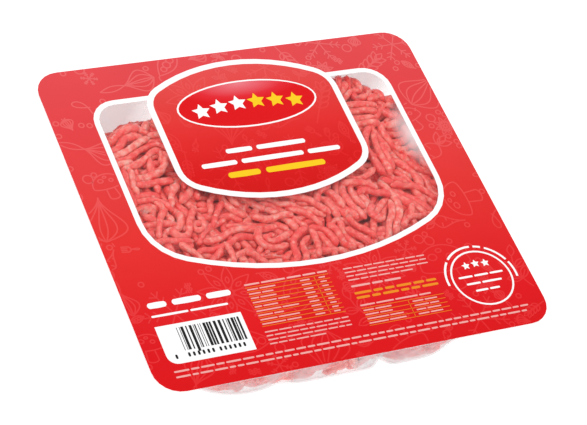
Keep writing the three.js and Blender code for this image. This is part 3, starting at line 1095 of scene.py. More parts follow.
@dataclass
class Mince:
    """A kilogram of mince: a hidden core, and strands that lie over its top, sides and underside.

    Attributes:
        form: The tray's form, which the meat fills.
        sheet: Room kept for the tray's sheet, in millimetres, as are all sizes here.
        radius: Of a strand.
        girth: Least and greatest share of that radius that a strand has.
        tone: Mean and spread of the strands' tones, from 0 for lean to 1 for pale.
        film: Height of the film's lower face.
        head_gap: Least room between the film and a strand.
        spare: How far single strands may stand over the heap's even top.
        wall_gap: Room between the tray's outer face and the strands over the core.
        seed: Of all chance in the heap.
        step: Distance between two points of a strand.
        core_inset: How far inside the tray's outer face the core ends.
        core_drop: How far under the heap's top the core ends.
        full: Mean height of the heap.
        back_height: Height of the back's slope at its shoulder.
        back_slope: Fall of the back for each millimetre towards the wall.
        thinnest: Least height of the heap.
    """

    form: TrayForm = field(default_factory=TrayForm)
    sheet: float = 0.8
    radius: float = 1.95
    girth: Point = (0.86, 1.1)
    tone: Point = (0.5, 0.16)
    film: float = 38.8
    head_gap: float = 0.5
    spare: float = 3.0
    wall_gap: float = 1.4
    seed: int = 11
    step: float = 1.15
    core_inset: float = 6.5
    core_drop: float = 10.5
    full: float = 34.4
    back_height: float = 35.6
    back_slope: float = 1.45
    thinnest: float = 3.0

    LAYERS = (
        Layer("mince_lower_strands", 330, 8.0, 5.2, 8),
        Layer("mince_middle_strands", 170, 3.2, 0.8, 14),
        Layer("mince_top_strands", 420, 0.6, 0.0, 11),
    )
    # Strands that are tried against the walls, and as many against the floor.
    PRESSED = 420
    # Steps of the core's outline along a wall and round a corner, and those of the wall's outline.
    CORE_STEPS = (12, 6)
    WALL_STEPS = (40, 24)
    # Heights at which the wall is measured.
    LEVELS = 7
    # How much wider than the tray's grooves their dents in the meat are, on top and at the walls.
    TOP_DENT = 1.8
    WALL_DENT = 2.2

    def __post_init__(self) -> None:
        """Starts the heap's chance and measures the wall."""
        self.rng = np.random.default_rng(self.seed)
        self.wall = self._wall_rows()

    def _wall_rows(self) -> list[np.ndarray]:
        """Draws the wall's closed outline at each level."""
        rows = []
        for level in np.linspace(self.form.fillet, self.form.wall_top, self.LEVELS):
            size, grooved = self.form.size_at(level, 0.0)
            row = self.form.outline(size, grooved, *self.WALL_STEPS, widened=self.WALL_DENT)
            rows.append(np.vstack((row, row[:1])))
        return rows

    def _strand_radius(self) -> float:
        """Picks the radius of one strand."""
        return self.radius * self.rng.uniform(*self.girth)

    def _strand_tone(self) -> float:
        """Picks the tone of one strand."""
        return self.rng.normal(*self.tone)

    def top(self, x: np.ndarray, y: np.ndarray) -> np.ndarray:
        """Finds the height that the meat rises to: full, but for its back, which falls away.

        Args:
            x: Places across.
            y: Places along.

        Returns:
            The height at each place.
        """
        # The heap is rounded off over the last 16 mm of its sides and its front.
        side = np.clip((np.abs(x) - 70) / 16, 0, 1) ** 2
        front = np.clip((-y - 66) / 16, 0, 1) ** 2
        # The back's shoulder bends forward in both corners, and most at the left.
        corner = np.clip((np.abs(x) - 58) / 4.7, 0, 4.1) ** 2
        shoulder = 63.5 + 6.3 * np.tanh(x / 40) + 9 * np.exp(-((x / 30) ** 2)) - corner
        back = self.back_height - self.back_slope * (y - shoulder)
        swell = 1.1 * np.sin(x / 17 + 1.1 * np.sin(y / 23)) * np.cos(y / 15 + 0.6)
        heap = np.minimum(self.full + swell - 4 * side - 6 * front, back)
        return np.maximum(heap, self.thinnest)

    def inside_limit(
        self, x: np.ndarray, y: np.ndarray, height: float, gap: float
    ) -> tuple[np.ndarray, np.ndarray]:
        """Draws places outside the tray's room back to its wall.

        Args:
            x: Places across.
            y: Places along.
            height: At which the room is measured.
            gap: Room to leave to the tray's outer face.

        Returns:
            The places, moved where they had to be.
        """
        (half_x, half_y, corner), grooved = self.form.size_at(height, gap)
        room_y = half_y - grooved * self.form.dent(self.form.long_grooves, x, self.TOP_DENT)
        room_x = half_x - grooved * self.form.dent(self.form.short_grooves, y, self.TOP_DENT)
        x, y = np.clip(x, -room_x, room_x), np.clip(y, -room_y, room_y)
        qx, qy = np.abs(x) - (half_x - corner), np.abs(y) - (half_y - corner)
        far = np.hypot(np.maximum(qx, 0), np.maximum(qy, 0))
        over = far > corner
        scale = np.where(over, corner / np.maximum(far, 1e-6), 1.0)
        new_x = np.where(over & (qx > 0), np.sign(x) * (half_x - corner + qx * scale), x)
        new_y = np.where(over & (qy > 0), np.sign(y) * (half_y - corner + qy * scale), y)
        return new_x, new_y

    def wander(
        self, start: Point, length: float, heading: float, tightest: float
    ) -> tuple[np.ndarray, np.ndarray]:
        """Draws a strand's winding path on a flat sheet.

        Args:
            start: Its middle.
            length: Of the strand.
            heading: At its first point, in radians.
            tightest: Least radius of its curls, in millimetres.

        Returns:
            The places of its points.
        """
        # Length over which a strand keeps its bend, in millimetres.
        bend = 8.0
        steps = int(length / self.step)
        s = np.arange(steps) * self.step
        knots = np.arange(0, length + 2 * bend, bend)
        pull = np.clip(self.rng.normal(0, 0.95, len(knots)), -1, 1) / tightest
        turn = heading + np.cumsum(np.interp(s, knots, pull)) * self.step
        u = np.cumsum(np.cos(turn)) * self.step
        v = np.cumsum(np.sin(turn)) * self.step
        middle = steps // 2
        return start[0] + u - u[middle], start[1] + v - v[middle]

    def bundle(self, u: np.ndarray, v: np.ndarray, count: int) -> list[tuple[np.ndarray, np.ndarray]]:
        """Sets strands side by side, as they left neighbouring holes of the plate.

        Args:
            u: Places of the bundle's middle line.
            v: The same.
            count: Number of strands.

        Returns:
            The places of each strand's points. Each strand is cut short by up to a fifth at each end.
        """
        du, dv = np.gradient(u), np.gradient(v)
        norm = np.hypot(du, dv)
        across_u, across_v = -dv / norm, du / norm
        longest_cut = len(u) // 5
        made = []
        for k in range(count):
            gap = (k - (count - 1) / 2) * 2 * self.radius * self.rng.uniform(0.92, 1.08)
            drift = gap + np.cumsum(self.rng.normal(0, 0.10, len(u)))
            first = self.rng.integers(0, longest_cut)
            last = len(u) - self.rng.integers(0, longest_cut)
            made.append(((u + drift * across_u)[first:last], (v + drift * across_v)[first:last]))
        return made

    @staticmethod
    def smooth_line(values: np.ndarray) -> np.ndarray:
        """Takes the jitter out of a line without moving its ends.

        Args:
            values: One coordinate of its points.

        Returns:
            The smoothed coordinate.
        """
        weights = np.array([1, 2, 3, 2, 1])
        pad = np.pad(values, len(weights) // 2, mode="edge")
        soft = np.convolve(pad, weights / weights.sum(), mode="valid")
        soft[0], soft[-1] = values[0], values[-1]
        return soft

    def build_core(self) -> bpy.types.Object:
        """Builds the meat behind the strands, which closes every gap between them, in a deeper red that
        paints the shade there.

        Returns:
            The core.
        """
        wall_heights = (self.core_inset, 12.0)
        roof_height = 20.0
        roof_shares = (1.0, 0.92, 0.84, 0.75, 0.65, 0.54, 0.42, 0.3, 0.18, 0.06)
        rings = []
        for height in wall_heights:
            size, _ = self.form.size_at(height, self.core_inset)
            ring = self.form.outline(size, 0.0, *self.CORE_STEPS)
            cap = self.top(ring[:, 0], ring[:, 1]) - self.core_drop - 1
            rings.append(np.column_stack((ring, np.clip(cap, self.sheet + 0.3, height))))
        size, _ = self.form.size_at(roof_height, self.core_inset)
        for share in roof_shares:
            ring = self.form.outline(size, 0.0, *self.CORE_STEPS) * share
            roof = self.top(ring[:, 0], ring[:, 1]) - self.core_drop
            rings.append(np.column_stack((ring, np.maximum(roof, self.sheet + 0.6))))
        core = extruded_rings("mince_core", rings)
        self._close_ends(core)
        bpy.ops.object.shade_smooth()
        SHADED_BEEF.dress(core)
        return core

    @staticmethod
    def _close_ends(core: bpy.types.Object) -> None:
        """Fills the core's open ends and turns its faces outwards.

        Args:
            core: The shell, in edit mode.
        """
        bpy.ops.mesh.select_all(action="DESELECT")
        bm = bmesh.from_edit_mesh(core.data)
        for edge in bm.edges:
            edge.select_set(edge.is_boundary)
        bmesh.update_edit_mesh(core.data)
        bpy.ops.mesh.edge_face_add()
        bpy.ops.mesh.select_all(action="SELECT")
        bpy.ops.mesh.normals_make_consistent(inside=False)
        bpy.ops.object.mode_set(mode="OBJECT")

    def build_top(self) -> list[bpy.types.Object]:
        """Lays the strands that show through the window, layer upon layer.

        Returns:
            A piece for each layer.
        """
        half_x, half_y, _ = self.form.mouth
        highest = self.film - self.head_gap - self.spare
        bed = StrandBed(
            low=(-half_x, -half_y),
            high=(half_x, half_y),
            ground=lambda x, y: np.maximum(self.top(x, y) - self.core_drop, self.sheet + self.radius),
            ceiling=lambda x, y: np.minimum(self.top(x, y), highest),
            rng=self.rng,
            spare=self.spare,
        )
        layers = []
        for layer in self.LAYERS:
            mesher = StrandMesher()
            bed.fewest = layer.fewest
            for level in np.linspace(layer.deepest, layer.shallowest, layer.picks):
                bed.level = level
                self._lay_bundle(bed, mesher)
            layers.append(mesher.piece(layer.name))
            BEEF.dress(layers[-1])
        return layers

    def _lay_bundle(self, bed: StrandBed, mesher: StrandMesher) -> None:
        """Lays one bundle of neighbouring strands where meat is most lacking.

        Args:
            bed: What it is laid on.
            mesher: Gathers its strands.
        """
        x, y = bed.barest(tries=60, inside=lambda a, b: (np.abs(a) < 84) & (b > -74) & (b < 79))
        # Neighbouring bundles lie much the same way, and that way turns slowly over the heap.
        flow = 1.3 * math.sin(x / 34 + 0.6) + 1.5 * math.cos(y / 29 - 0.4) + self.rng.normal(0, 0.8)
        count = int(self.rng.choice([1, 2, 3, 4], p=[0.3, 0.3, 0.25, 0.15]))
        length = self.rng.uniform(35, 80)
        tightest = (0.5 + count) * self.radius * self.rng.uniform(0.9, 1.5)
        u, v = self.wander((x, y), length, flow, tightest)
        for su, sv in self.bundle(u, v, count):
            radius = self._strand_radius()
            room = self.wall_gap + radius
            su, sv = self.inside_limit(su, sv, height=30.0, gap=room)
            laid = bed.lay(self.smooth_line(su), self.smooth_line(sv), radius)
            if laid is None:
                continue
            su, sv, centre = laid
            su, sv = self.inside_limit(su, sv, height=float(np.min(centre)) - 0.5 * radius, gap=room)
            self._sweep_level(mesher, np.column_stack((su, sv, centre)), radius)

    def _sweep_level(self, mesher: StrandMesher, path: np.ndarray, radius: float) -> None:
        """Adds a strand that lies level, with its back up."""
        up = np.tile((0.0, 0.0, 1.0), (len(path), 1))
        mesher.sweep(path, up, radius, self._strand_tone(), self.rng)

    def wall_point(
        self, u: np.ndarray, height: np.ndarray, inset: np.ndarray
    ) -> tuple[np.ndarray, np.ndarray]:
        """Places points just inside the tray's wall.

        Args:
            u: How far round the wall, in millimetres along its outline at mid height.
            height: Above the underside.
            inset: How far inside the outer face.

        Returns:
            The points, and the wall's inward direction at each.
        """
        closed = self.wall[self.LEVELS // 2]
        run = np.concatenate(([0], np.cumsum(np.linalg.norm(np.diff(closed, axis=0), axis=1))))
        share = np.clip((height - self.form.fillet) / (self.form.wall_top - self.form.fillet), 0, 1)
        floor = np.minimum((share * (self.LEVELS - 1)).astype(int), self.LEVELS - 2)
        part = share * (self.LEVELS - 1) - floor
        spot = np.zeros((len(u), 2))
        for axis in (0, 1):
            ladder = np.array([np.interp(u % run[-1], run, row[:, axis]) for row in self.wall])
            low, high = ladder[floor, np.arange(len(u))], ladder[floor + 1, np.arange(len(u))]
            spot[:, axis] = low + (high - low) * part
        tangent = np.gradient(closed, axis=0)
        along = np.column_stack([np.interp(u % run[-1], run, tangent[:, k]) for k in (0, 1)])
        along /= np.linalg.norm(along, axis=1, keepdims=True)
        inward = np.column_stack((-along[:, 1], along[:, 0], np.zeros(len(u))))
        under = np.clip(1 - height / self.form.fillet, 0, 1)
        inset = inset + self.form.fillet * (1 - np.sqrt(1 - under**2))
        point = np.column_stack((spot, height)) + inset[:, None] * inward
        return point, inward

    def perimeter(self) -> float:
        """Measures the wall's outline at mid height."""
        size = tuple((a + b) / 2 for a, b in zip(self.form.base, self.form.mouth))
        ring = self.form.outline(size, 0.0, *self.WALL_STEPS)
        return float(np.linalg.norm(np.diff(np.vstack((ring, ring[:1])), axis=0), axis=1).sum())

    def build_sides(self) -> bpy.types.Object:
        """Lays the strands pressed against the tray's walls.

        Returns:
            Their piece.
        """
        # How far inside the outer face the heap's height is read.
        behind = 4.0
        bed = StrandBed(
            low=(0.0, 2.5),
            high=(self.perimeter(), 34.0),
            ground=lambda u, v: np.full_like(u, self.sheet + 0.85 * self.radius),
            ceiling=lambda u, v: np.full_like(u, self.sheet + 7.0),
            rng=self.rng,
            wraps=True,
        )
        mesher = StrandMesher(sides=8)

        def inside(u: np.ndarray, v: np.ndarray) -> np.ndarray:
            """Tells which places of the wall have meat behind them."""
            spot, _ = self.wall_point(u, v, np.full_like(u, behind))
            return v < self.top(spot[:, 0], spot[:, 1]) - 1.5

        for _ in range(self.PRESSED):
            u0, v0 = bed.barest(tries=60, inside=inside)
            heading = self.rng.normal(0, 0.7) + (math.pi if self.rng.random() < 0.5 else 0)
            length = self.rng.uniform(16, 44)
            u, v = self.wander((u0, v0), length, heading, self.rng.uniform(6, 30))
            radius = self._strand_radius()
            spot, _ = self.wall_point(u, np.clip(v, 3, 34), np.full_like(u, behind))
            lowest = self.sheet + radius + 0.8
            most = np.clip(self.top(spot[:, 0], spot[:, 1]) - radius, lowest, 33.5)
            v = self.smooth_line(np.clip(v, lowest, most))
            laid = bed.lay(u, v, radius)
            if laid is None:
                continue
            u, v, inset = laid
            path, inward = self.wall_point(u, v, inset)
            mesher.sweep(path, inward, radius, self._strand_tone(), self.rng)
        piece = mesher.piece("mince_side_strands")
        BEEF.dress(piece)
        return piece

    def build_underside(self) -> bpy.types.Object:
        """Lays the strands pressed flat on the tray's floor.

        Returns:
            Their piece.
        """
        half_x, half_y, _ = self.form.base
        bed = StrandBed(
            low=(-half_x, -half_y),
            high=(half_x, half_y),
            ground=lambda x, y: np.full_like(x, self.sheet + 0.85 * self.radius),
            ceiling=lambda x, y: np.full_like(x, self.sheet + 6.5),
            rng=self.rng,
        )
        mesher = StrandMesher()
        for _ in range(self.PRESSED):
            x, y = bed.barest(tries=50, inside=lambda a, b: (np.abs(a) < half_x) & (np.abs(b) < half_y))
            flow = 1.3 * math.sin(x / 30) + 1.6 * math.cos(y / 26) + self.rng.normal(0, 0.5)
            u, v = self.wander((x, y), self.rng.uniform(18, 48), flow, self.rng.uniform(6, 30))
            radius = self._strand_radius()
            u, v = self.inside_limit(u, v, height=3.0, gap=2.0 + radius)
            laid = bed.lay(self.smooth_line(u), self.smooth_line(v), radius)
            if laid is not None:
                self._sweep_level(mesher, np.column_stack(laid), radius)
        piece = mesher.piece("mince_underside_strands")
        BEEF.dress(piece)
        return piece

    def build(self) -> list[bpy.types.Object]:
        """Builds the whole heap, core first."""
        return [self.build_core(), *self.build_top(), self.build_sides(), self.build_underside()]


class Motif(Enum):
    """The line drawings scattered over the red print."""

    SNOWFLAKE = "snowflake"
    WHEAT_EAR = "wheat_ear"
    SPRIG = "sprig"
    MUSHROOM = "mushroom"
    CARROT = "carrot"
    STAR_ANISE = "star_anise"
    PEA_POD = "pea_pod"
    GARLIC = "garlic"
    FORK = "fork"
    WHISK = "whisk"
    PRETZEL = "pretzel"
    WAVES = "waves"
    BEAD = "bead"


def arc(centre: Point, reach: Point, start: float = 0.0, end: float = 360.0) -> Stroke:
    """Draws part of an ellipse.

    Args:
        centre: Of the ellipse.
        reach: Its half width and half height.
        start: First angle, in degrees.
        end: Last angle, in degrees.

    Returns:
        The stroke's points.
    """
    legs = max(int(abs(end - start) / LEG_DEGREES), FEWEST_LEGS)
    turn = np.radians(np.linspace(start, end, legs + 1))
    return np.column_stack((centre[0] + reach[0] * np.cos(turn), centre[1] + reach[1] * np.sin(turn)))


def line(*points: Point) -> Stroke:
    """Draws straight lines from point to point, cut short enough to be trimmed at the print's edge."""
    cuts = 14
    legs = [np.linspace(a, b, cuts + 1)[:-1] for a, b in zip(points, points[1:])]
    return np.vstack([*legs, points[-1:]])


def leaf(root: Point, length: float, width: float, heading: float, fullest: float = 0.5) -> Stroke:
    """Draws the outline of a leaf, grain or drop.

    Args:
        root: Where it starts.
        length: From root to tip.
        width: At its fullest place.
        heading: From root to tip, in degrees.
        fullest: Where along it that place is, from 0 to 1.

    Returns:
        The closed stroke's points.
    """
    share = np.linspace(0, 1, 20)
    half = 0.5 * width * np.sin(math.pi * share ** (math.log(0.5) / math.log(fullest)))
    along = np.concatenate((share, share[-2::-1])) * length
    across = np.concatenate((half, -half[-2::-1]))
    cos, sin = math.cos(math.radians(heading)), math.sin(math.radians(heading))
    return np.column_stack((root[0] + along * cos - across * sin, root[1] + along * sin + across * cos))


def snowflake() -> list[Stroke]:
    """Draws six spokes with two pairs of twigs each."""
    strokes = []
    for spoke in range(0, 360, 60):
        tip = (math.cos(math.radians(spoke)), math.sin(math.radians(spoke)))
        strokes.append(line((0, 0), tip))
        for place in (0.5, 0.76):
            for side in (-52, 52):
                way = math.radians(spoke + side)
                start = (place * tip[0], place * tip[1])
                end = (start[0] + 0.24 * math.cos(way), start[1] + 0.24 * math.sin(way))
                strokes.append(line(start, end))
    return strokes


def wheat_ear() -> list[Stroke]:
    """Draws a stalk with grains in pairs and one at the tip."""
    strokes = [line((0, -1), (0, 0.55)), leaf((0, 0.5), 0.46, 0.2, 90)]
    for place in (-0.3, -0.04, 0.22, 0.48):
        strokes += [leaf((0, place), 0.44, 0.19, 90 + side) for side in (-38, 38)]
    return strokes


def sprig() -> list[Stroke]:
    """Draws a bent stem with veined leaves at both sides."""
    stem = arc((1.5, -0.9), (1.6, 1.6), 180, 118)
    strokes = [stem]
    for step, side in ((2, 70), (2, -50), (4, 62), (4, -58)):
        root = tuple(stem[step])
        heading = 78 - 8 * step + side
        way = math.radians(heading)
        vein = line(root, (root[0] + 0.5 * math.cos(way), root[1] + 0.5 * math.sin(way)))
        strokes += [leaf(root, 0.72, 0.32, heading), vein]
    return [*strokes, leaf(tuple(stem[-1]), 0.6, 0.3, 30)]


def mushroom() -> list[Stroke]:
    """Draws a spotted cap on a stem."""
    cap = [arc((0, 0.05), (0.9, 0.8), 0, 180), arc((0, 0.05), (0.9, 0.22), 180, 360)]
    stem = [line((-0.24, -0.14), (-0.3, -0.75)), line((0.3, -0.75), (0.24, -0.14))]
    foot = arc((0, -0.75), (0.3, 0.16), 180, 360)
    spots = [((-0.3, 0.45), (0.15, 0.12)), ((0.3, 0.35), (0.12, 0.1)), ((0.02, 0.64), (0.1, 0.07))]
    return [*cap, *stem, foot, *(arc(*spot) for spot in spots)]


def carrot() -> list[Stroke]:
    """Draws a root with rings and a tuft of three leaves."""
    strokes = [leaf((0, -1), 1.45, 0.62, 90, 0.76)]
    strokes += [leaf((0, 0.42), 0.56, 0.22, heading) for heading in (55, 90, 125)]
    strokes += [line((-0.26, 0.1), (-0.05, 0.08)), line((0.24, -0.12), (0.04, -0.15))]
    return [*strokes, line((-0.16, -0.36), (0.0, -0.38))]


def star_anise() -> list[Stroke]:
    """Draws eight husks round a middle, each with its seed."""
    strokes = [arc((0, 0), (0.13, 0.13))]
    for turn in range(0, 360, 45):
        way = (math.cos(math.radians(turn)), math.sin(math.radians(turn)))
        strokes.append(leaf((0.13 * way[0], 0.13 * way[1]), 0.87, 0.34, turn, 0.42))
        strokes.append(leaf((0.34 * way[0], 0.34 * way[1]), 0.26, 0.12, turn))
    return strokes


def pea_pod() -> list[Stroke]:
    """Draws a pod with four peas and a stalk."""
    peas = [arc((x, 0), (r, r)) for x, r in zip((-0.52, -0.22, 0.1, 0.4), (0.12, 0.16, 0.17, 0.13))]
    return [leaf((-0.85, 0), 1.7, 0.78, 0), *peas, arc((0.85, 0.22), (0.22, 0.22), 270, 350)]


def garlic() -> list[Stroke]:
    """Draws a bulb with its cloves and roots."""
    cloves = [leaf((0, 0.95), 1.7, width, -90, 0.68) for width in (1.5, 0.84, 0.24)]
    return [*cloves, line((-0.16, -0.8), (-0.22, -0.94)), line((0.16, -0.8), (0.22, -0.94))]


def fork() -> list[Stroke]:
    """Draws a fork with four tines."""
    tines = [line((x, 0.3), (x, 1.0)) for x in (-0.33, -0.11, 0.11, 0.33)]
    bowl = arc((0, 0.3), (0.33, 0.36), 180, 360)
    return [*tines, bowl, leaf((0, -0.05), 0.95, 0.2, -90, 0.7)]


def whisk() -> list[Stroke]:
    """Draws a whisk's wires and its handle."""
    wires = [leaf((0, -0.12), 1.12, width, 90, 0.62) for width in (0.92, 0.5, 0.1)]
    return [*wires, leaf((0, -0.1), 0.9, 0.22, -90, 0.5)]


def pretzel() -> list[Stroke]:
    """Draws a pretzel's one crossed loop."""
    t = np.linspace(-4.0, 4.0, 60)
    across = (3.3 * t - 0.4 * t**3) * np.sin(t)
    return [np.column_stack((across, 11 - 4 * t * np.sin(t * math.pi / 3.4))) / 14]


def waves() -> list[Stroke]:
    """Draws three short waves under each other."""
    x = np.linspace(-0.9, 0.9, 22)
    return [np.column_stack((x, 0.16 * np.sin(7 * x) + lift)) for lift in (-0.36, 0.0, 0.36)]


def bead() -> list[Stroke]:
    """Draws a small ring."""
    return [arc((0, 0), (0.8, 0.8))]


DRAWINGS = {
    Motif.SNOWFLAKE: snowflake,
    Motif.WHEAT_EAR: wheat_ear,
    Motif.SPRIG: sprig,
    Motif.MUSHROOM: mushroom,
    Motif.CARROT: carrot,
    Motif.STAR_ANISE: star_anise,
    Motif.PEA_POD: pea_pod,
    Motif.GARLIC: garlic,
    Motif.FORK: fork,
    Motif.WHISK: whisk,
    Motif.PRETZEL: pretzel,
    Motif.WAVES: waves,
    Motif.BEAD: bead,
}


def pen_drawing(name: str, strokes: Sequence[Stroke], width: float, height: float = 0.0) -> bpy.types.Object:
    """Draws strokes as a flat curve as wide as the pen, and makes it a mesh.

    Each stroke climbs a little and starts over the one before, so that no two lines lie in one plane
    where they cross.

    Args:
        name: The drawing's name.
        strokes: Points in millimetres.
        width: Of the pen, in millimetres.
        height: Of the drawing, in millimetres.

    Returns:
        The mesh object, which faces up.
    """
    climb = 0.0015
    curve = bpy.data.curves.new(name, "CURVE")
    curve.dimensions = "3D"
    curve.twist_mode = "Z_UP"
    curve.extrude = 0.5 * width * MM
    for count, stroke in enumerate(strokes):
        spline = curve.splines.new("POLY")
        spline.points.add(len(stroke) - 1)
        level = height + climb * np.linspace(count, count + 0.95, len(stroke))
        rows = np.column_stack((stroke * MM, level * MM, np.ones(len(stroke))))
        spline.points.foreach_set("co", rows.ravel())
        spline.points.foreach_set("tilt", np.full(len(stroke), math.pi / 2))
    drawing = bpy.data.objects.new(name, curve)
    bpy.context.scene.collection.objects.link(drawing)
    lone_selection(drawing)
    bpy.ops.object.convert(target="MESH")
    return drawing


def joined(name: str, parts: Sequence[bpy.types.Object]) -> bpy.types.Object:
    """Joins objects in one and names it.

    Args:
        name: Of the whole.
        parts: Objects, of which the first takes in the rest.

    Returns:
        The whole.
    """
    lone_selection(parts[0])
    for part in parts:
        part.select_set(True)
    bpy.ops.object.join()
    parts[0].name = name
    parts[0].data.name = name
    return parts[0]


def stamped(
    shape: bpy.types.Object, place: Point3, scale: float, turn: float = 0.0, longer: float = 0.0
) -> bpy.types.Object:
    """Copies a flat shape with its own mesh and sets it on the lid.

    Args:
        shape: A flat shape of unit size about the origin, on z = 0.
        place: Of its middle, in millimetres.
        scale: In millimetres for a unit.
        turn: Anticlockwise, in degrees.
        longer: How much its left and right halves are drawn apart, in millimetres.

    Returns:
        The copy, with its place in its mesh.
    """
    copy = bpy.data.objects.new(shape.name, shape.data.copy())
    bpy.context.scene.collection.objects.link(copy)
    points = np.empty(3 * len(copy.data.vertices), np.float32)
    copy.data.vertices.foreach_get("co", points)
    points = points.reshape(-1, 3) * scale
    points[:, 0] += np.sign(points[:, 0]) * longer * MM / 2
    cos, sin = math.cos(math.radians(turn)), math.sin(math.radians(turn))
    turned = points @ np.array(((cos, sin, 0), (-sin, cos, 0), (0, 0, 1)))
    copy.data.vertices.foreach_set("co", (turned + np.array(place) * MM).astype(np.float32).ravel())
    copy.data.update()
    return copy


@dataclass
class DoodlePattern:
    """A pattern of kitchen drawings in a paler red, scattered over a field of red print.

    Attributes:
        carrier: CAD node that the pattern is printed on.
        ink: Finish of the lines.
        height: Of the lines above the tray's underside, in millimetres.
        pen: Width of the lines.
        seed: Of the layout.
        sizes: Half sizes of the drawings, from those placed first to the smallest, and tries for each.
        fillers: The same for the rings and waves between them.
        plain_below: Half size under which a filler is always a ring.
        crowding: How near two drawings may stand, as a share of their half sizes added up.
        repeat: Distance within which no motif comes twice while another is left.
    """

    carrier: bpy.types.Object
    ink: Finish
    height: float = 39.226
    pen: float = 0.72
    seed: int = 4
    sizes: tuple[tuple[float, int], ...] = ((15.0, 160), (11.5, 500), (8.5, 900), (6.0, 1200), (4.4, 1200))
    fillers: tuple[tuple[float, int], ...] = ((3.0, 900), (1.6, 900))
    plain_below: float = 2.0
    crowding: float = 0.86
    repeat: float = 34.0

    def on_carrier(self, x: float, y: float) -> bool:
        """Tells whether a place of the lid lies on the printed field."""
        hit, *_ = self.carrier.ray_cast(Vector((x * MM, y * MM, 100 * MM)), Vector((0, 0, -1)))
        return hit

    def mostly_on_carrier(self, x: float, y: float, size: float) -> bool:
        """Tells whether a drawing's middle and five of eight places in it lie on the printed field."""
        ring = [(x + 0.7 * size * math.cos(k), y + 0.7 * size * math.sin(k)) for k in range(8)]
        return self.on_carrier(x, y) and sum(self.on_carrier(*p) for p in ring) >= 5

    def layout(self) -> list[tuple[Motif, Point, float, float]]:
        """Scatters the drawings.

        Returns:
            Motif, place, half size and turn of each.
        """
        rng = random.Random(self.seed)
        large = [m for m in Motif if m not in (Motif.WAVES, Motif.BEAD)]
        placed = []
        for sizes, motifs in ((self.sizes, large), (self.fillers, [Motif.BEAD, Motif.WAVES])):
            for size, tries in sizes:
                for _ in range(tries):
                    x, y = (rng.uniform(-half, half) for half in LID_HALF)
                    away = [(motif, math.dist((x, y), place), other) for motif, place, other, _ in placed]
                    near = any(gap < self.crowding * (size + other) for _, gap, other in away)
                    if near or not self.mostly_on_carrier(x, y, size):
                        continue
                    recent = [motif for motif, gap, _ in away if gap < self.repeat]
                    fresh = [m for m in motifs if m not in recent] or motifs
                    motif = rng.choice(fresh) if size > self.plain_below else Motif.BEAD
                    placed.append((motif, (x, y), size, rng.uniform(0, 360)))
        return placed

    def build(self, name: str) -> bpy.types.Object:
        """Draws each motif once for each size, stamps its copies and trims them at the field's edge.

        Args:
            name: Of the piece.

        Returns:
            The pattern.
        """
        shapes: dict[tuple[Motif, float], bpy.types.Object] = {}
        parts = []
        for motif, place, size, turn in self.layout():
            if (motif, size) not in shapes:
                strokes = [stroke * size for stroke in DRAWINGS[motif]()]
                shapes[motif, size] = pen_drawing(motif.value, strokes, self.pen)
            parts.append(stamped(shapes[motif, size], (*place, self.height), 1.0, turn))
        pattern = joined(name, parts)
        for shape in shapes.values():
            bpy.data.objects.remove(shape)
        self._trim(pattern)
        self.ink.dress(pattern)
        return pattern

    def _trim(self, pattern: bpy.types.Object) -> None:
        """Deletes the faces that lie off the printed field.

        Args:
            pattern: The pattern.
        """
        lone_selection(pattern)
        bpy.ops.object.mode_set(mode="EDIT")
        bpy.ops.mesh.select_mode(type="FACE")
        bpy.ops.mesh.select_all(action="DESELECT")
        bm = bmesh.from_edit_mesh(pattern.data)
        for face in bm.faces:
            face.select_set(not all(self.on_carrier(*(corner.co.xy / MM)) for corner in face.verts))
        bmesh.update_edit_mesh(pattern.data)
        bpy.ops.mesh.delete(type="FACE")
        bpy.ops.mesh.select_mode(type="VERT")
        bpy.ops.object.mode_set(mode="OBJECT")


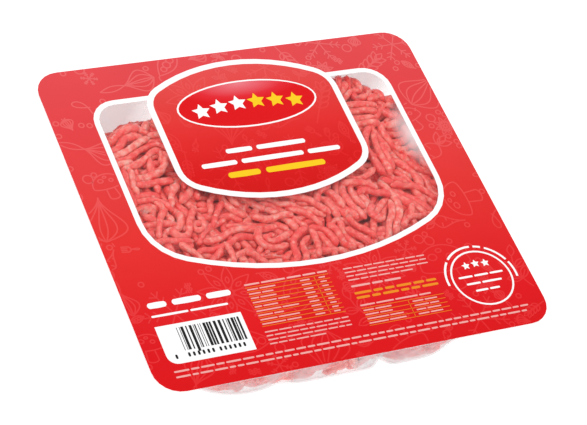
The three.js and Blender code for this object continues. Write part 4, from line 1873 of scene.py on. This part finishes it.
@dataclass
class PrintShop:
    """Prints dashes, stars, lines and rings on the lid, each shape modelled once and then stamped.

    Attributes:
        above_field: Height of print on the red field, in millimetres.
        above_plates: Height of print on the plaque and the white panel.
        seed: Of the lengths of the dashes and the widths of the bars.
    """

    above_field: float = 39.28
    above_plates: float = 39.35
    seed: int = 8

    def __post_init__(self) -> None:
        """Models the shapes."""
        self.rng = random.Random(self.seed)
        self.pill = self._pill()
        self.star = self._star()
        self.block = self._block()

    @staticmethod
    def _flat_circle(name: str, sides: int, radius: float) -> bpy.types.Object:
        """Adds a filled circle, left in edit mode with nothing selected."""
        bpy.ops.object.select_all(action="DESELECT")
        bpy.ops.mesh.primitive_circle_add(vertices=sides, radius=radius * MM, fill_type="NGON")
        shape = bpy.context.object
        shape.name = name
        bpy.ops.object.mode_set(mode="EDIT")
        bpy.ops.mesh.select_all(action="DESELECT")
        return shape

    def _pill(self) -> bpy.types.Object:
        """Models a round dot, a unit high, that stretches to a dash at its middle."""
        shape = self._flat_circle("dash", 14, 0.5)
        bpy.ops.object.mode_set(mode="OBJECT")
        return shape

    def _star(self) -> bpy.types.Object:
        """Models a five-pointed star with one point up."""
        shape = self._flat_circle("star", 10, 1.0)
        bm = bmesh.from_edit_mesh(shape.data)
        for vertex in bm.verts:
            turn = math.degrees(math.atan2(vertex.co.y, vertex.co.x))
            vertex.select_set(round((turn - 90) / 36) % 2 == 1)
        bmesh.update_edit_mesh(shape.data)
        bpy.ops.transform.resize(value=(0.5, 0.5, 1.0), center_override=(0, 0, 0))
        bpy.ops.object.mode_set(mode="OBJECT")
        return shape

    @staticmethod
    def _block() -> bpy.types.Object:
        """Models a square, a unit high, that stretches to a bar."""
        bpy.ops.object.select_all(action="DESELECT")
        bpy.ops.mesh.primitive_plane_add(size=1.0 * MM)
        bpy.context.object.name = "bar"
        return bpy.context.object

    def dash(self, left: float, right: float, y: float, tall: float) -> bpy.types.Object:
        """Stamps a rounded dash from left to right."""
        middle = ((left + right) / 2, y, self.above_field)
        return stamped(self.pill, middle, tall, longer=right - left - tall)

    def dashes(self, left: float, right: float, y: float, tall: float, count: int) -> list[bpy.types.Object]:
        """Stamps a row of dashes of uneven lengths, which fills the room from left to right.

        Args:
            left: Where the row starts.
            right: Where it ends.
            y: Of its middle line.
            tall: Height of a dash.
            count: Number of dashes.

        Returns:
            The dashes.
        """
        gap = 0.8 * tall
        room = right - left - gap * (count - 1)
        shares = [self.rng.uniform(0.55, 1.45) for _ in range(count)]
        scale = room / sum(shares)
        parts = []
        for share in shares:
            parts.append(self.dash(left, left + share * scale, y, tall))
            left += share * scale + gap
        return parts

    def rule(self, left: float, right: float, y: float, tall: float) -> bpy.types.Object:
        """Stamps a thin straight line from left to right."""
        middle = ((left + right) / 2, y, self.above_field)
        return stamped(self.block, middle, tall, longer=right - left - tall)

    def upright(self, x: float, low: float, high: float, wide: float, height: float) -> bpy.types.Object:
        """Stamps a straight bar from low to high."""
        return stamped(self.block, (x, (low + high) / 2, height), wide, 90.0, high - low - wide)

    def arc_dash(
        self, centre: Point, radius: float, start: float, end: float, tall: float
    ) -> bpy.types.Object:
        """Prints a dash bent round a centre, from one angle to another in degrees."""
        stroke = arc(centre, (radius, radius), start, end)
        return pen_drawing("arc_dash", [stroke], tall, self.above_field)

    def clear_away(self) -> None:
        """Removes the shapes that were stamped from."""
        for shape in (self.pill, self.star, self.block):
            bpy.data.objects.remove(shape)


@dataclass
class LidPrint:
    """All that is printed on the lid beside the plain fields: rows of dashes, tables, bars and seal.

    Attributes:
        shop: Stamps the shapes.
        table_left: Left edge of the orange ruled table.
        table_right: Its right edge.
        block_left: Left edge of the block of dashes to its right.
        block_right: Right edge of that block.
        seal: Centre of the round seal.
        fine: Height of the smallest dashes.
        hairline: Width of the tables' lines.
        pitch: Distance between two rows of a table.
    """

    shop: PrintShop
    table_left: float = -42.0
    table_right: float = 0.0
    block_left: float = 8.0
    block_right: float = 51.0
    seal: Point = (74.2, -63.3)
    fine: float = 0.74
    hairline: float = 0.34
    pitch: float = 2.4

    def build(self) -> list[tuple[bpy.types.Object, str, tuple[str, ...]]]:
        """Prints every piece.

        Returns:
            Each piece with its material slot and the CAD nodes that it stands for.
        """
        shop = self.shop
        pieces = [
            self._title("upper", shop.dashes(-22, 20, 31.5, 2.9, 2), WHITE, "white_ink"),
            self._title("middle", shop.dashes(-37, 36, 24.6, 2.9, 3), WHITE, "white_ink"),
            self._title("lower", shop.dashes(-26, 25, 17.3, 3.6, 2), YELLOW, "yellow_ink"),
            self._piece("weight_dashes", self._weight(), WHITE, "white_ink", "weight_bar"),
            self._piece("emblem_stars_white", self._stars(0), WHITE, "white_ink"),
            self._piece("emblem_stars_yellow", self._stars(1), YELLOW, "yellow_ink"),
            self._piece("panel_bars", self._bars(), BLACK, "deep_red_ink"),
            self._piece("ruled_tables", self._rules(), ORANGE, "yellow_ink"),
            self._piece("fine_dashes_white", self._fine_white(), THIN_WHITE, "white_ink"),
            self._piece("fine_dashes_yellow", self._fine_yellow(), THIN_YELLOW, "yellow_ink"),
            self._piece("seal_dashes", self._seal_dashes(), WHITE, "white_ink"),
        ]
        shop.clear_away()
        return pieces

    @staticmethod
    def _piece(
        name: str, parts: list[bpy.types.Object], ink: Finish, slot: str, *nodes: str
    ) -> tuple[bpy.types.Object, str, tuple[str, ...]]:
        """Joins a piece's shapes and dresses it."""
        piece = joined(name, parts)
        ink.dress(piece)
        return piece, slot, nodes

    def _title(
        self, row: str, parts: list[bpy.types.Object], ink: Finish, slot: str
    ) -> tuple[bpy.types.Object, str, tuple[str, ...]]:
        """Joins one row of the title's dashes, which stands for the CAD part's plain bar."""
        return self._piece(f"title_dashes_{row}", parts, ink, slot, f"title_bar_{row}")

    def _weight(self) -> list[bpy.types.Object]:
        """Prints the bold line over the white panel and the thin one under it."""
        return [*self.shop.dashes(-90, -49.5, -46.8, 3.3, 3), *self.shop.dashes(-90, -53, -52.6, 1.2, 2)]

    def _stars(self, half: int) -> list[bpy.types.Object]:
        """Prints three of the plaque's six stars, the left or the right ones."""
        spots = [(-25.0 + 10.0 * k, 57.2 + 0.4 * k * (5 - k)) for k in range(3 * half, 3 * half + 3)]
        return [stamped(self.shop.star, (x, y, self.shop.above_plates), 4.9) for x, y in spots]

    def _bars(self) -> list[bpy.types.Object]:
        """Prints upright bars of chance widths on the white panel, and short dashes under them."""
        shop, rng = self.shop, self.shop.rng
        parts = []
        x = -81.2
        while x < -51.5:
            wide = rng.choice((0.33, 0.33, 0.66, 0.66, 1.0, 1.32))
            low = -74.2 if rng.random() < 0.12 else -72.6
            parts.append(shop.upright(x + wide / 2, low, -60.2, wide, shop.above_plates))
            x += wide + rng.choice((0.33, 0.33, 0.66, 1.0))
        for x in (-86.0, *(left + 2.3 * k for left in (-80.0, -65.0) for k in range(6))):
            parts.append(stamped(shop.pill, (x, -75.0, shop.above_plates), 1.15, 90.0, 1.2))
        return parts

    def _rules(self) -> list[bpy.types.Object]:
        """Prints the thin orange lines of both tables."""
        shop, thin = self.shop, self.hairline
        parts = []
        for left, right, top, lines, column, bottom in (
            (self.table_left, self.table_right, -46.2, 10, -7.5, -67.8),
            (self.block_left, self.block_right, -68.0, 5, 32.0, -77.6),
        ):
            parts += [shop.rule(left, right, top - self.pitch * k, thin) for k in range(lines)]
            parts.append(shop.upright(column, bottom, top, thin, shop.above_field))
        return parts

    def _fine_white(self) -> list[bpy.types.Object]:
        """Prints every row of small white dashes."""
        shop, fine = self.shop, self.fine
        left, right = self.table_left, self.table_right
        parts = shop.dashes(left, right, -44.6, 1.0, 5)
        for k in range(9):
            y = -47.4 - self.pitch * k
            parts += shop.dashes(left + 0.4, left + shop.rng.uniform(11, 25), y, fine, 2)
            parts += shop.dashes(left + 27, left + 32, y, fine, 1)
            parts += shop.dashes(right - 5.5, right - 2.2, y, fine, 1)
        for k in range(4):
            end, count = (right - 14, 5) if k == 3 else (right, 8)
            parts += shop.dashes(left, end, -70.9 - 2.15 * k, fine, count)
        left, right = self.block_left, self.block_right
        for k in range(4):
            end, count = (right - 9, 6) if k == 3 else (right, 8)
            parts += shop.dashes(left, end, -45.2 - 2.2 * k, fine, count)
        parts += shop.dashes(left, left + 26, -55.4, 1.15, 3)
        parts += shop.dashes(left, right - 6, -66.3, 0.9, 4)
        for k in range(4):
            y = -69.2 - self.pitch * k
            parts += shop.dashes(left + 0.4, left + shop.rng.uniform(11, 21), y, fine, 2)
            parts += shop.dashes(34, 47, y, fine, 2)
        parts += shop.dashes(-90, 90, -82.4, 1.0, 34)
        parts += shop.dashes(-90, 88, -85.2, 1.0, 32)
        return parts

    def _fine_yellow(self) -> list[bpy.types.Object]:
        """Prints the two bold yellow rows of small dashes."""
        left, right = self.block_left, self.block_right
        return [*self.shop.dashes(left, right, -59.4, 1.4, 6), *self.shop.dashes(left, right, -62.0, 1.4, 6)]

    def _seal_dashes(self) -> list[bpy.types.Object]:
        """Prints the seal's rows, and the dashes that run round its outside."""
        shop = self.shop
        x, y = self.seal
        spots = [(x + 5.2 * k, y + 8.4 - 0.5 * k * k, shop.above_field) for k in (-1, 0, 1)]
        parts = [stamped(shop.star, spot, 2.3) for spot in spots]
        parts += shop.dashes(x - 12.0, x + 12.0, y + 1.8, 1.15, 3)
        parts += shop.dashes(x - 9.5, x + 9.5, y - 2.4, 1.15, 2)
        parts += shop.dashes(x - 6.5, x + 6.5, y - 6.6, 1.15, 2)
        for start, end in ((-8, 20), (25, 62), (68, 80), (86, 134), (140, 184)):
            parts.append(shop.arc_dash(self.seal, 18.3, start, end, 1.1))
        return parts


@dataclass
class Studio:
    """A pale floor, soft lights and the camera at the photo's viewing angle.

    Attributes:
        azimuth: Of the view, in degrees. 0 looks along +Y.
        elevation: Of the view, in degrees.
        roll: Of the camera about its own axis, in degrees.
        target: Point of the lid that the view is centred on, in millimetres.
        distance: From camera to target, in millimetres.
        lens: Focal length.
        sensor: Width of the camera's sensor.
        room_light: Strength of the even light all round.
        floor_size: Length of the floor's sides, in metres.
    """

    azimuth: float = -38.8
    elevation: float = 48.4
    roll: float = 21.85
    target: Point3 = (-2.76, -9.33, 39.2)
    distance: float = 970.7
    lens: float = 127.1
    sensor: float = 36.0
    room_light: float = 0.82
    floor_size: float = 12.0

    def build_camera(self) -> None:
        """Sets up the camera."""
        a, e, r = (math.radians(v) for v in (self.azimuth, self.elevation, self.roll))
        back = Vector((math.sin(a) * math.cos(e), -math.cos(a) * math.cos(e), math.sin(e)))
        level = Vector((math.cos(a), math.sin(a), 0.0))
        upright = back.cross(level)
        right = math.cos(r) * level + math.sin(r) * upright
        up = math.cos(r) * upright - math.sin(r) * level
        data = bpy.data.cameras.new("camera")
        data.lens = self.lens
        data.sensor_width = self.sensor
        camera = bpy.data.objects.new("camera", data)
        turn = Matrix((right, up, back)).transposed().to_4x4()
        place = Vector(self.target) * MM + back * self.distance * MM
        camera.matrix_world = Matrix.Translation(place) @ turn
        bpy.context.scene.collection.objects.link(camera)
        bpy.context.scene.camera = camera

    def add_softbox(self, name: str, place: Point3, power: float, size: float) -> None:
        """Hangs a square softbox at a place in metres, turned to the pack.

        Args:
            name: Of the light.
            place: Its middle.
            power: In watts.
            size: Of its sides, in metres.
        """
        data = bpy.data.lights.new(name, "AREA")
        data.energy = power
        data.size = size
        light = bpy.data.objects.new(name, data)
        light.location = place
        pack_middle = Vector((0, 0, 0.02))
        light.rotation_euler = (pack_middle - Vector(place)).to_track_quat("-Z", "Y").to_euler()
        bpy.context.scene.collection.objects.link(light)

    def build_lights(self) -> None:
        """Hangs the softboxes and sets the even light of the room."""
        self.add_softbox("key_softbox", (-0.9, 0.5, 1.5), 7.0, 0.9)
        self.add_softbox("fill_softbox", (0.9, -0.9, 1.2), 3.0, 1.2)
        world = bpy.data.worlds.new("studio")
        world.use_nodes = True
        background = world.node_tree.nodes["Background"]
        background.inputs["Color"].default_value = linear("ffffff")
        background.inputs["Strength"].default_value = self.room_light
        bpy.context.scene.world = world

    def build_floor(self) -> None:
        """Lays the floor."""
        bpy.ops.object.select_all(action="DESELECT")
        bpy.ops.mesh.primitive_plane_add(size=self.floor_size, location=(0, 0, 0))
        floor = bpy.context.object
        floor.name = "floor"
        FLOOR.dress(floor)

    def build(self) -> None:
        """Builds the studio, and lets light pass the many clear layers of film and tray."""
        self.build_camera()
        self.build_lights()
        self.build_floor()
        scene = bpy.context.scene
        scene.view_settings.view_transform = "Standard"
        scene.cycles.max_bounces = 16
        scene.cycles.diffuse_bounces = 12
        scene.cycles.transparent_max_bounces = 24


def dress_frame(nodes: dict[str, bpy.types.Object]) -> None:
    """Gives the CAD nodes that stay their finishes.

    Args:
        nodes: The CAD nodes by name.
    """
    plaque_low, plaque_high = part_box("emblem_plaque")
    centre = (plaque_low + plaque_high) / 2 / MM
    half = (plaque_high - plaque_low) / 2 / MM
    plaque = PlaqueInk("plaque ink", (centre.x, centre.y), (half.x, half.y))
    finishes = {
        "lid_film": FILM,
        "print_field": RED,
        "window_border": WHITE,
        "shield_border": WHITE,
        "shield_panel": SHIELD_RED,
        "emblem_border": WHITE,
        "emblem_plaque": plaque,
        "title_bar_upper": WHITE,
        "title_bar_middle": WHITE,
        "title_bar_lower": YELLOW,
        "weight_bar": WHITE,
        "barcode_panel": WHITE,
        "seal_ring": WHITE,
    }
    for name, finish in finishes.items():
        finish.dress(nodes[name])


def settle(piece: bpy.types.Object, slot: str, *nodes: str) -> None:
    """Makes a piece ride on the pack and hides the CAD nodes that it stands for.

    Args:
        piece: The piece.
        slot: Its material slot. Not used.
        *nodes: CAD nodes that it stands for.
    """
    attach(piece, BODY)
    if nodes:
        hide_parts(*nodes)
    log.info("%s: %d faces", piece.name, len(piece.data.polygons))


def main() -> None:
    """Builds the pack's looks and the studio."""
    logging.basicConfig(level=logging.INFO, format="%(message)s")
    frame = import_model()
    nodes = frame["nodes"]
    Studio().build()
    dress_frame(nodes)
    settle(DoodlePattern(nodes["print_field"], PALE_RED).build("field_drawings"), "red_ink")
    settle(DoodlePattern(nodes["shield_panel"], SHIELD_PALE, seed=9).build("panel_drawings"), "red_ink")
    for piece, slot, replaced in LidPrint(PrintShop()).build():
        settle(piece, slot, *replaced)
    settle(ClearTray().build(), "tray", "tray")
    for piece in Mince().build():
        settle(piece, "mince", "mince")


if __name__ == "__main__":
    main()
